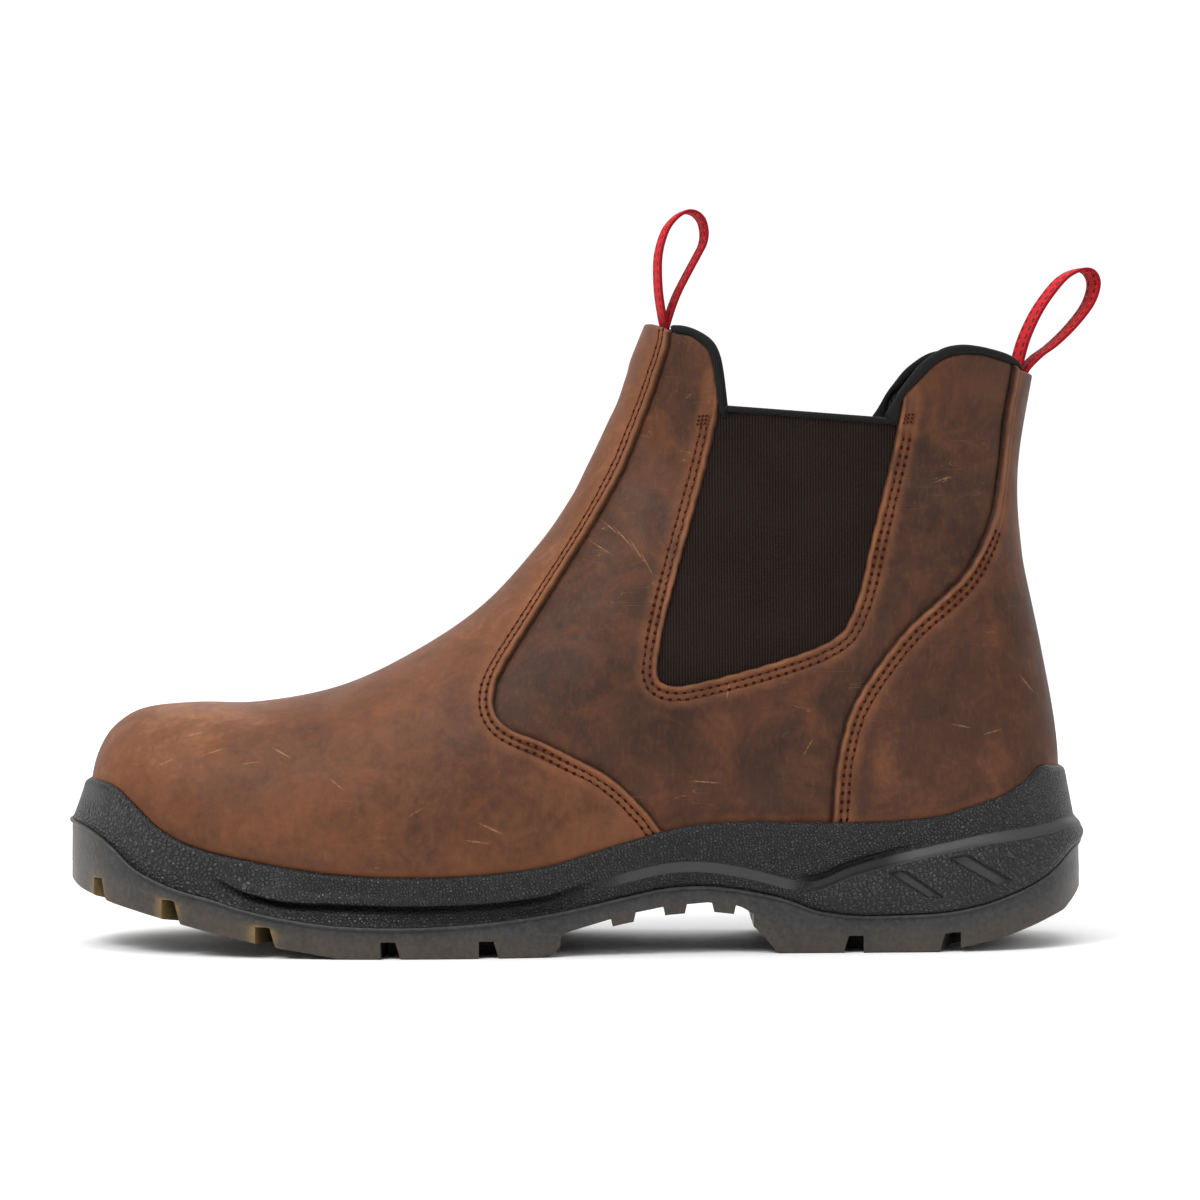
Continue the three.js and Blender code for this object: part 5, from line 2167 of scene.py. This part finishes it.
@dataclass
class SoleLines:
    """The outline of the sole and the lines on its side.

    Attributes:
        last: the form that stands in it.
        around: points round the outline.
        dense: how much closer they lie round the heel.
        rim_thick: width of the rim beside the leather.
    """

    last: Last
    around: int = 420
    dense: float = 0.0
    rim_thick: float = 3.8 * MM

    def __post_init__(self) -> None:
        """Lays the outline and finds the rim on the form."""
        table = [(a, -outer) for a, outer, _ in OUTLINE_ROWS]
        table += [(a, inner) for a, _, inner in OUTLINE_ROWS[-2:0:-1]]
        knots = np.array([(SOLE_BACK - a * SOLE_LENGTH, s * SOLE_WIDTH / 2) for a, s in table])
        fine = closed_spline(knots, 3400)
        ring = np.vstack([fine, fine[:1]])
        steps = np.linalg.norm(np.diff(ring, axis=0), axis=1)
        steps *= 1 + self.dense * (fine[:, 0] > SOLE_BACK - 0.24 * SOLE_LENGTH)
        run = np.r_[0, np.cumsum(steps)]
        spots = np.linspace(0, run[-1], self.around, endpoint=False)
        self.outline = np.c_[np.interp(spots, run, ring[:, 0]), np.interp(spots, run, ring[:, 1])]
        way = np.roll(self.outline, -1, axis=0) - np.roll(self.outline, 1, axis=0)
        way /= np.linalg.norm(way, axis=1)[:, None]
        self.out = np.c_[way[:, 1], -way[:, 0]]
        if ((self.out * (self.outline - self.outline.mean(axis=0))).sum(axis=1)).mean() < 0:
            self.out = -self.out
        self.along = (SOLE_BACK - self.outline[:, 0]) / SOLE_LENGTH
        self.border = smooth_at(SIDE_ROWS, self.along, 2) * SIDE_HEIGHT
        self.ledge = smooth_at(SIDE_ROWS, self.along, 3)
        self.base = straight_at(TREAD_ROWS, self.along, 1) * SIDE_HEIGHT
        self.tread = self.base - straight_at(TREAD_ROWS, self.along, 2) * TREAD_HEIGHT
        heights = smooth_at(SIDE_ROWS, self.along, 1) * SIDE_HEIGHT
        rim = []
        for point, out, height in zip(self.outline, self.out, heights):
            start = Vector((*(point + out * 0.12), height))
            hit, _, _, _ = self.last.tree.ray_cast(start, Vector((-out[0], -out[1], 0)))
            rim.append(hit)
        self.rim = np.array(rim)

    def level(self, shift: float, height: Array | float) -> Array:
        """A ring on the outline, moved outwards, at a height."""
        flat = self.outline + self.out * shift
        return np.c_[flat, np.broadcast_to(height, len(flat))]

    def at_rim(self, shift: float, drop: float) -> Array:
        """A ring on the rim, moved outwards and down.

        Args:
            shift: how far outwards.
            drop: how far down.

        Returns:
            The ring.
        """
        ring = self.rim.copy()
        ring[:, :2] += self.out * shift
        ring[:, 2] -= drop
        return ring

    def middle(self, ring: Array) -> Array:
        """The line along the middle of a ring, as a ring folded flat."""
        other = (self.around - np.arange(self.around)) % self.around
        return (ring + ring[other]) / 2

    def closed(self, rings: list[Array]) -> Shape:
        """A closed body through rings, with its ends folded flat."""
        stack = [self.middle(rings[0]), *rings, self.middle(rings[-1])]
        return ring_mesh(np.array(stack))


HEEL_SLOTS = [
    [[0.194, 0.602], [0.180, 0.610], [0.144, 0.420], [0.158, 0.422]],
    [[0.136, 0.705], [0.120, 0.725], [0.079, 0.535], [0.091, 0.502]],
]


@dataclass
class Midsole:
    """The pebbled cup that holds the upper.

    Attributes:
        lines: the sole's lines.
        recess: how far the front's lower band lies back under the ledge.
        bevel: height of the slopes of the arch and the heel.
        arch_out, heel_out: how far the parts below those slopes stand out.
        slot_deep: depth of the slots in the raised heel side.
    """

    lines: SoleLines
    recess: float = 3.2 * MM
    bevel: float = 3.4 * MM
    arch_out: float = 1.0 * MM
    heel_out: float = 1.7 * MM
    slot_deep: float = 1.5 * MM

    def make(self, foam: Material) -> Object:
        """The midsole in rings from its hidden inside to its lower border.

        Args:
            foam: its material.

        Returns:
            The piece.
        """
        s = self.lines
        edge = 1.5 * MM
        top = s.at_rim(s.rim_thick, edge)
        tall = s.rim[:, 2] - s.border - edge
        ledge = np.clip(s.ledge, 0.12, 0.9) * (tall + edge)
        rings = [s.at_rim(-4.0 * MM, 6.0 * MM), s.at_rim(-1.5 * MM, 1.6 * MM)]
        masks = [np.zeros((3, s.around)), np.zeros((3, s.around))]
        coarse = ramp(s.along, 0.74, 0.82)
        for shift, drop in ((0.4, 0.45), (1.0, 0.12), (1.7, 0.0), (2.4, 0.04), (3.0, 0.3), (3.45, 0.75)):
            rings.append(s.at_rim(shift * MM, drop * MM))
            masks.append(np.array([np.full(s.around, 0.3), coarse * 0.5, 0 * coarse]))
        near, under, foot = ledge + 1.9 * MM, ledge - 3.8 * MM, np.full(s.around, 0.9 * MM)
        heights = [tall + (near - tall) * k / 11 for k in range(11)]
        heights += [near + (under - near) * k / 20 for k in range(20)]
        heights += [under + (foot - under) * k / 36 for k in range(37)]
        for height in heights:
            ring, mask, shift = self.side(top, height, tall, ledge)
            rings.append(ring)
            masks.append(mask)
        for drop, share in ((0.45, 0.8), (0.15, 0.5), (0.0, 0.2)):
            ring = s.level(0, s.border + drop * MM)
            ring[:, :2] += s.out * (shift * share)[:, None]
            rings.append(ring)
            masks.append(np.array([np.full(s.around, 0.4), coarse, 0 * coarse]))
        rings.append(s.level(-7 * MM, s.border))
        masks.append(np.zeros((3, s.around)))
        smooth, coarse, shade = np.concatenate(masks, axis=1)
        values = {"smooth": smooth, "coarse": coarse, "shade": shade}
        piece = solid("midsole_cup", ring_mesh(np.array(rings)), foam, values, merge=False)
        return settle(piece, Finish.FOAM, "midsole")

    def side(
        self, top: Array, height: Array, tall: Array, ledge: Array
    ) -> tuple[Array, Array, Array]:
        """One ring on the side wall.

        Args:
            top: the ring under the rounded rim.
            height: the ring's height over the border.
            tall: the height of the top ring.
            ledge: the height of the ledge.

        Returns:
            The ring; how smooth and coarse it is and how much shade is painted on it; and how far it
            stands out.
        """
        s = self.lines
        bottom = s.level(0, s.border)
        ring = bottom + (top - bottom) * (height / tall)[:, None]
        down = ledge - height
        front = ramp(s.along, 0.475, 0.53) * (1 - ramp(s.along, 0.805, 0.862))
        arch = ramp(s.along, 0.272, 0.295) * (1 - ramp(s.along, 0.445, 0.49))
        heel = 1 - ramp(s.along, 0.262, 0.285)
        line = ramp(s.along, 0.15, 0.215) * (1 - ramp(s.along, 0.272, 0.284))
        fade = 1 - 0.8 * np.clip(down / ledge, 0, 1)
        shift = -self.recess * front * ramp(down, -0.1 * MM, 0.35 * MM) * fade
        shift = shift + 0.7 * MM * front * np.exp(-(((down + 1.3 * MM) / (1.6 * MM)) ** 2))
        shift = shift + self.arch_out * arch * ramp(down, 0.0, self.bevel) * fade**0.5
        shift = shift + self.heel_out * heel * ramp(down, -0.4 * MM, self.bevel - 0.4 * MM)
        belly = np.clip((down - self.bevel) / np.maximum(ledge - self.bevel, MM), 0, 1)
        shift = shift + heel * (0.5 * MM * np.sin(belly * np.pi) - 0.8 * MM * belly**3)
        groove = line * np.exp(-(((down + 0.9 * MM) / (0.75 * MM)) ** 2))
        shift = shift - 1.3 * MM * groove
        below = ramp(down, self.bevel - 0.2 * MM, self.bevel + 0.2 * MM)
        band = ramp(down, -0.1 * MM, 0.25 * MM) * (1 - below)
        toe = ramp(s.along, 0.94, 0.965) * ramp(-down, 0, 2 * MM) * 0.75
        smooth = np.maximum.reduce([band * np.maximum(arch, heel), groove, toe, 0.5 * band * front])
        coarse = np.maximum(ramp(s.along, 0.74, 0.82), 0.7 * heel * ramp(down, 0, self.bevel))
        scale = np.array([SOLE_LENGTH, SIDE_HEIGHT])
        spots = np.c_[s.along, ring[:, 2] / SIDE_HEIGHT]
        for outline in HEEL_SLOTS:
            shape = np.array(outline)
            gap = distance_to(spots * scale, shape * scale, np.roll(shape, -1, axis=0) * scale)
            signed = np.where(inside(spots, shape), gap, -gap)
            depth = np.clip((signed + 0.35 * MM) / (0.6 * MM), 0, 1)
            shift = shift - self.slot_deep * depth
            smooth = np.maximum(smooth, ramp(depth, 0.1, 0.6))
        ring[:, :2] += s.out * shift[:, None]
        # Painted shade: darker under the front ledge, on the heel band's front part under the pod's
        # edge, and in the groove along the heel's ledge.
        shade = 0.85 * front * ramp(down, -0.3 * MM, 0.3 * MM) * (1 - ramp(down, 1.2 * MM, 3.2 * MM))
        dark = heel * ramp(s.along, 0.165, 0.205) * ramp(down, -0.6 * MM, 0.0)
        dark *= 1 - ramp(down, 2.4 * MM, self.bevel + 0.6 * MM)
        shade = np.maximum.reduce([shade, 0.8 * dark, 0.6 * groove])
        return ring, np.array([smooth, coarse, shade]), shift


# Side grooves: along the outline, slant in degrees, which edge leans (1 the rear one)
GROOVE_ROWS = [
    [0.130, 14, -1], [0.227, 4, -1], [0.583, -4, 1], [0.679, 4, 1], [0.798, 16, 1],
    [0.893, 32, 1], [0.966, 58, 1],
]
LUG_STRETCHES = [[-0.05, 0.326], [0.513, 1.05]]
ARCH_RIBS = [[0.343, 0.366], [0.391, 0.414], [0.441, 0.465]]
# Cross grooves under the middle of the sole: along the length, slant in degrees
PAD_GROOVES = [
    [0.155, 8], [0.235, -8], [0.565, 10], [0.620, -10], [0.675, 10], [0.730, -10], [0.785, 10],
    [0.840, -10],
]


@dataclass
class Outsole:
    """The clear tread layer with its lugs.

    Attributes:
        lines: the sole's lines.
        groove: width of a side groove at its foot.
        flare: how much wider a groove is at the floor.
        channel: width of the channel inside the side lugs.
        lug: length of a side lug towards the middle.
        lip: how far the layer stands out under the midsole.
        bead: how far its top edge stands out.
    """

    lines: SoleLines
    groove: float = 4.4 * MM
    flare: float = 3.2 * MM
    channel: float = 4.0 * MM
    lug: float = 19 * MM
    lip: float = 0.4 * MM
    bead: float = 1.0 * MM

    def body(self, name: str, bottom: Array, chamfer: float) -> Object:
        """A closed layer from the midsole's border down to a level.

        Args:
            name: name of the layer.
            bottom: its lower level all round.
            chamfer: the slope of its lower edge.

        Returns:
            The layer.
        """
        s = self.lines
        shape = s.closed([
            s.level(-0.5 * MM, s.border - 0.05 * MM),
            s.level(self.bead * 0.7, s.border - 0.1 * MM),
            s.level(self.bead, s.border - 0.4 * MM),
            s.level(self.bead, s.border - 0.8 * MM),
            s.level(self.lip * 0.6, s.border - 1.5 * MM),
            s.level(self.lip * 0.7, (s.border + bottom) / 2),
            s.level(self.lip, bottom + chamfer),
            s.level(self.lip - chamfer * 0.35, bottom + chamfer * 0.3),
            s.level(self.lip - chamfer, bottom),
        ])
        return solid(name, shape, bpy.data.materials[0])

    def block(self, at: Triple, size: Triple) -> Object:
        """A cube of a size at a place.

        Args:
            at: its middle.
            size: its three sizes.

        Returns:
            The cube.
        """
        bpy.ops.object.select_all(action="DESELECT")
        bpy.ops.mesh.primitive_cube_add(size=1, location=at)
        piece = bpy.context.active_object
        piece.scale = size
        bpy.ops.object.transform_apply(location=True, rotation=True, scale=True)
        return piece

    def edge(self, along: float, side: Side) -> Array:
        """The point of the outline at a share of the length."""
        near = np.abs(self.lines.along - along) + (np.sign(self.lines.outline[:, 1]) != side.value)
        return self.lines.outline[np.argmin(near)]

    def bar(self, along: float, slant: float, lean: float, side: Side) -> Object:
        """The cutter of one side groove, with one edge that leans out to the floor.

        Args:
            along: where it is, along the sole.
            slant: its turn in degrees.
            lean: 1 where the rear edge leans, -1 where the front one does.
            side: the side.

        Returns:
            The cutter.
        """
        piece = self.block((0, 0, 0), (self.groove, self.lug * 2.6, 4 * SIDE_HEIGHT))
        x, y = self.edge(along, side)
        floor = tread_base(along)
        turn = Matrix.Rotation(math.radians(slant) * side.value, 4, "Z")
        for vertex in piece.data.vertices:
            place = vertex.co.copy()
            if place.z < 0 and place.x * lean > 0:
                place.x += lean * self.flare
            place.y *= 1 if place.y * side.value > 0 else 0.75
            place.z = floor if place.z > 0 else floor - TREAD_HEIGHT * 2
            vertex.co = turn @ place + Vector((x, y, 0))
        return piece

    def rib(self, start: float, end: float) -> Object:
        """The room of one rib of the arch, narrower at its foot.

        Args:
            start: where it starts, along the sole.
            end: where it ends.

        Returns:
            The room that it fills.
        """
        middle = (start + end) / 2
        base = tread_base(middle)
        wide = (end - start) * SOLE_LENGTH
        piece = self.block((0, 0, 0), (wide, 0.3, 7 * MM))
        for vertex in piece.data.vertices:
            vertex.co.x *= 1.18 if vertex.co.z > 0 else 0.72
            vertex.co += Vector((SOLE_BACK - middle * SOLE_LENGTH, 0, base - 0.8 * MM))
        return piece

    def cut(self, piece: Object, other: Object, operation: str) -> None:
        """Applies one Boolean and removes the cutter."""
        apply_modifier(piece, "BOOLEAN", operation=operation, object=other, solver="MANIFOLD")
        bpy.data.objects.remove(other, do_unlink=True)

    def ring(self, inset: float, width: float) -> Object:
        """The channel between the side lugs and the middle ones.

        Args:
            inset: how far inside the outline.
            width: its width.

        Returns:
            The cutter.
        """
        s = self.lines
        high, low = 2 * SIDE_HEIGHT, -SIDE_HEIGHT
        rings = [
            s.level(-inset, high), s.level(-inset, low),
            s.level(-inset - width, low), s.level(-inset - width, high), s.level(-inset, high),
        ]
        return solid("channel", ring_mesh(np.array(rings)), bpy.data.materials[0])

    def pad_grooves(self) -> Object:
        """The cutter of the cross grooves in the pads inside the channel.

        Returns:
            The cutter.
        """
        s = self.lines
        inset = self.lug + self.channel * 0.5
        shape = s.closed([s.level(-inset, SIDE_HEIGHT), s.level(-inset, -SIDE_HEIGHT)])
        pad = solid("pad", shape, bpy.data.materials[0])
        bars = []
        for along, slant in PAD_GROOVES:
            floor = tread_base(along)
            piece = self.block((0, 0, 0), (3.2 * MM, 0.12, 20 * MM))
            turn = Matrix.Rotation(math.radians(slant), 4, "Z")
            drop = floor - TREAD_HEIGHT + 2.6 * MM - 10 * MM
            for vertex in piece.data.vertices:
                vertex.co = turn @ vertex.co + Vector((SOLE_BACK - along * SOLE_LENGTH, 0, drop))
            bars.append(piece)
        self.cut(pad, join("bars", bars), "INTERSECT")
        return pad

    def make(self, rubber: Material) -> Object:
        """The tread layer with grooves, channel, ribs and softened edges.

        Args:
            rubber: its material.

        Returns:
            The piece.
        """
        tread = self.body("tread", self.lines.tread, 0.8 * MM)
        stretches = []
        for start, end in LUG_STRETCHES:
            middle = SOLE_BACK - (start + end) / 2 * SOLE_LENGTH
            stretches.append(self.block((middle, 0, 0), ((end - start) * SOLE_LENGTH, 0.3, 0.2)))
        stretches += [self.rib(start, end) for start, end in ARCH_RIBS]
        self.cut(tread, join("stretches", stretches), "INTERSECT")
        for along, slant, lean in GROOVE_ROWS:
            for side in Side:
                self.cut(tread, self.bar(along, slant, lean, side), "DIFFERENCE")
        self.cut(tread, self.ring(self.lug, self.channel), "DIFFERENCE")
        self.cut(tread, self.pad_grooves(), "DIFFERENCE")
        piece = self.body("outsole_layer", self.lines.base, 0.6 * MM)
        self.cut(piece, tread, "UNION")
        piece.data.materials.clear()
        piece.data.materials.append(rubber)
        pick(piece)
        bpy.ops.object.shade_smooth_by_angle(angle=math.radians(32))
        points = np.array([vertex.co for vertex in piece.data.vertices])
        along = (SOLE_BACK - points[:, 0]) / SOLE_LENGTH
        base = straight_at(TREAD_ROWS, along, 1) * SIDE_HEIGHT
        low = ramp(points[:, 2], base + 4.0 * MM, base - 3.0 * MM)
        thin = np.maximum(low, 0.6 * ramp(along, 0.94, 1.0))
        amber = np.zeros(len(points))
        for row, _, _ in GROOVE_ROWS[-3:]:
            for side in Side:
                gap = np.linalg.norm(points[:, :2] - self.edge(row, side), axis=1)
                amber = np.maximum(amber, 1 - ramp(gap, 2.0 * MM, 6 * MM))
        amber *= ramp(points[:, 2], base + 0.8 * MM, base - 0.4 * MM)
        write_values(piece.data, {"thin": thin, "amber": amber})
        return settle(piece, Finish.RUBBER, "outsole")


@dataclass
class Footbed:
    """The removable insole on the bottom of the boot.

    Attributes:
        node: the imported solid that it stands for.
        voxel: size of the grid that merges and rounds it.
    """

    node: str = "insole"
    voxel: float = 1.3 * MM

    def make(self, frame: dict, felt: Material) -> Object:
        """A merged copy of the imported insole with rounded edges.

        Args:
            frame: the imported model.
            felt: its material.

        Returns:
            The piece.
        """
        solid = frame["nodes"][self.node]
        mesh = solid.data.copy()
        piece = bpy.data.objects.new("footbed", mesh)
        bpy.context.scene.collection.objects.link(piece)
        piece.matrix_world = solid.matrix_world.copy()
        pick(piece)
        bpy.ops.object.transform_apply(location=True, rotation=True, scale=True)
        outward(piece)
        apply_modifier(piece, "REMESH", mode="VOXEL", voxel_size=self.voxel)
        apply_modifier(piece, "SMOOTH", factor=0.6, iterations=6)
        piece.data.materials.clear()
        piece.data.materials.append(felt)
        piece.data.shade_smooth()
        return settle(piece, Finish.LINING, self.node)


# Scene


@dataclass
class Studio:
    """The pale floor, the soft lights and the camera at the photograph's angle.

    Attributes:
        aim: what the camera looks at, on the boot's middle plane.
        far: the camera's distance from that plane.
        wide: what the frame spans across at that plane.
        fall: how much the view falls, as a share of the distance.
        roll: how far the camera is turned about its view, in radians.
        front_glow: the sky's strength on the camera's side.
        back_glow: its strength behind the boot.
    """

    aim: Triple = (-0.091, 0.0, 0.1053)
    far: float = 1.5
    wide: float = 0.3695
    fall: float = 0.026
    roll: float = 0.0045
    front_glow: float = 0.2
    back_glow: float = 1.05

    def floor(self) -> None:
        """A plain pale floor."""
        bpy.ops.object.select_all(action="DESELECT")
        bpy.ops.mesh.primitive_plane_add(size=9.0, location=(0, 0, 0))
        floor = bpy.context.active_object
        floor.name = "studio_floor"
        g = Graph("floor_paper")
        tone = g.mix(g.noise(3, 2), (0.89, 0.89, 0.893), (0.92, 0.92, 0.922))
        g.set(Base_Color=tone, Metallic=0.0, Roughness=0.7, Specular_IOR_Level=0.2)
        floor.data.materials.append(g.material)
        floor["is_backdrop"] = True

    def sky(self) -> None:
        """Soft white light all round, strongest from behind the boot."""
        world = bpy.data.worlds.new("soft_white")
        world.use_nodes = True
        tree = world.node_tree
        background = tree.nodes["Background"]
        background.inputs[0].default_value = (1.0, 1.0, 1.0, 1)
        way = tree.nodes.new("ShaderNodeTexCoord")
        parts = tree.nodes.new("ShaderNodeSeparateXYZ")
        strength = tree.nodes.new("ShaderNodeMapRange")
        strength.interpolation_type = "SMOOTHSTEP"
        values = (-0.2, 0.75, self.front_glow, self.back_glow)
        for socket, value in zip(list(strength.inputs)[1:5], values):
            socket.default_value = value
        tree.links.new(way.outputs["Generated"], parts.inputs[0])
        tree.links.new(parts.outputs[1], strength.inputs["Value"])
        tree.links.new(strength.outputs[0], background.inputs[1])
        bpy.context.scene.world = world
        bpy.context.scene.view_settings.view_transform = "Standard"

    def light(self, name: str, at: tuple, size: tuple[float, float], power: float) -> None:
        """A soft rectangular light that faces the boot.

        Args:
            name: its name.
            at: where it is.
            size: its two sizes.
            power: its power in watts.
        """
        bpy.ops.object.select_all(action="DESELECT")
        bpy.ops.object.light_add(type="AREA", location=at)
        lamp = bpy.context.active_object
        lamp.name = name
        lamp.data.shape = "RECTANGLE"
        lamp.data.size, lamp.data.size_y = size
        lamp.data.energy = power
        way = Vector((-0.09, 0, 0.07)) - Vector(at)
        lamp.rotation_euler = way.to_track_quat("-Z", "Y").to_euler()

    def sun(self) -> None:
        """Even soft light from above, a little from the camera's side."""
        bpy.ops.object.select_all(action="DESELECT")
        bpy.ops.object.light_add(type="SUN", location=(0, 0, 2))
        lamp = bpy.context.active_object
        lamp.name = "dome_soft"
        lamp.data.energy = 2.5
        lamp.data.angle = math.radians(70)
        lamp.rotation_euler = Vector((0.25, 0.42, -1)).to_track_quat("-Z", "Y").to_euler()

    def camera(self) -> None:
        """The camera, level with the boot's middle and a little above."""
        data = bpy.data.cameras.new("photo_view")
        data.sensor_width = 36
        data.sensor_fit = "HORIZONTAL"
        data.lens = 36 * self.far / self.wide
        camera = bpy.data.objects.new("photo_view", data)
        bpy.context.scene.collection.objects.link(camera)
        x, y, z = self.aim
        camera.location = (x, y - self.far, z + self.far * self.fall)
        tilt = math.pi / 2 - math.atan(self.fall)
        camera.rotation_euler = Euler((tilt, self.roll, 0), "XYZ")
        bpy.context.scene.camera = camera

    def make(self) -> None:
        """Everything round the boot."""
        self.floor()
        self.sky()
        self.sun()
        self.light("key_soft", (-0.85, -1.0, 1.45), (0.6, 0.5), 13)
        self.light("fill_soft", (1.1, -1.2, 0.9), (0.5, 0.5), 5)
        self.light("back_soft", (0.3, 1.4, 0.9), (1.2, 0.8), 6)
        self.camera()


def write_sizes(before: object, after: object) -> None:
    """Turns the box of the solids and of the dressed boot into plain lists of numbers.

    Args:
        before: the solids' box.
        after: the dressed boot's box.
    """
    plain = [[[float(value) for value in corner] for corner in box] for box in (before, after)]


def main() -> None:
    """Builds every piece of the boot and the studio."""
    logging.basicConfig(level=logging.INFO, format="%(name)s: %(message)s")
    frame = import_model()
    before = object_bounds()
    Studio().make()

    leather = OiledLeather().make("oiled_leather")
    elastic = ELASTIC.make("ribbed_elastic")
    tape = TAPE.make("woven_tape")
    mesh_lining = MESH.make("mesh_lining")
    felt = FELT.make("footbed_felt")
    foam = PebbledFoam().make("pebbled_foam")
    rubber = ClearRubber().make("clear_rubber")
    webbing = Webbing().make("red_webbing")
    thread = Thread().make("brown_thread")
    # The needle holes' dark colour is painted shade.
    dark = Thread((0.034, 0.0085, 0.0045)).make("needle_hole_dark")

    last = Last()
    upper = Upper(last)
    upper.quarters(leather)
    upper.front(leather)
    upper.heel(leather)
    upper.lining(mesh_lining)
    Sewing().make(upper, thread, dark)
    for side in Side:
        gore = Gore(upper, side)
        gore.panel(elastic)
        gore.tape(tape)
        CollarTape(last, side, "front", COLLAR_FRONT[2:10], [*BINDING_FRONT, [0.338, 0.848]]).make(tape)
        CollarTape(last, side, "rear", COLLAR_REAR[:10], BINDING_REAR).make(tape)
    for loop in (FRONT_LOOP, REAR_LOOP):
        loop.make(webbing)
    Midsole(SoleLines(last, 1000, 1.6)).make(foam)
    Outsole(SoleLines(last)).make(rubber)
    Footbed().make(frame, felt)
    write_sizes(before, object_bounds())


if __name__ == "__main__":
    main()
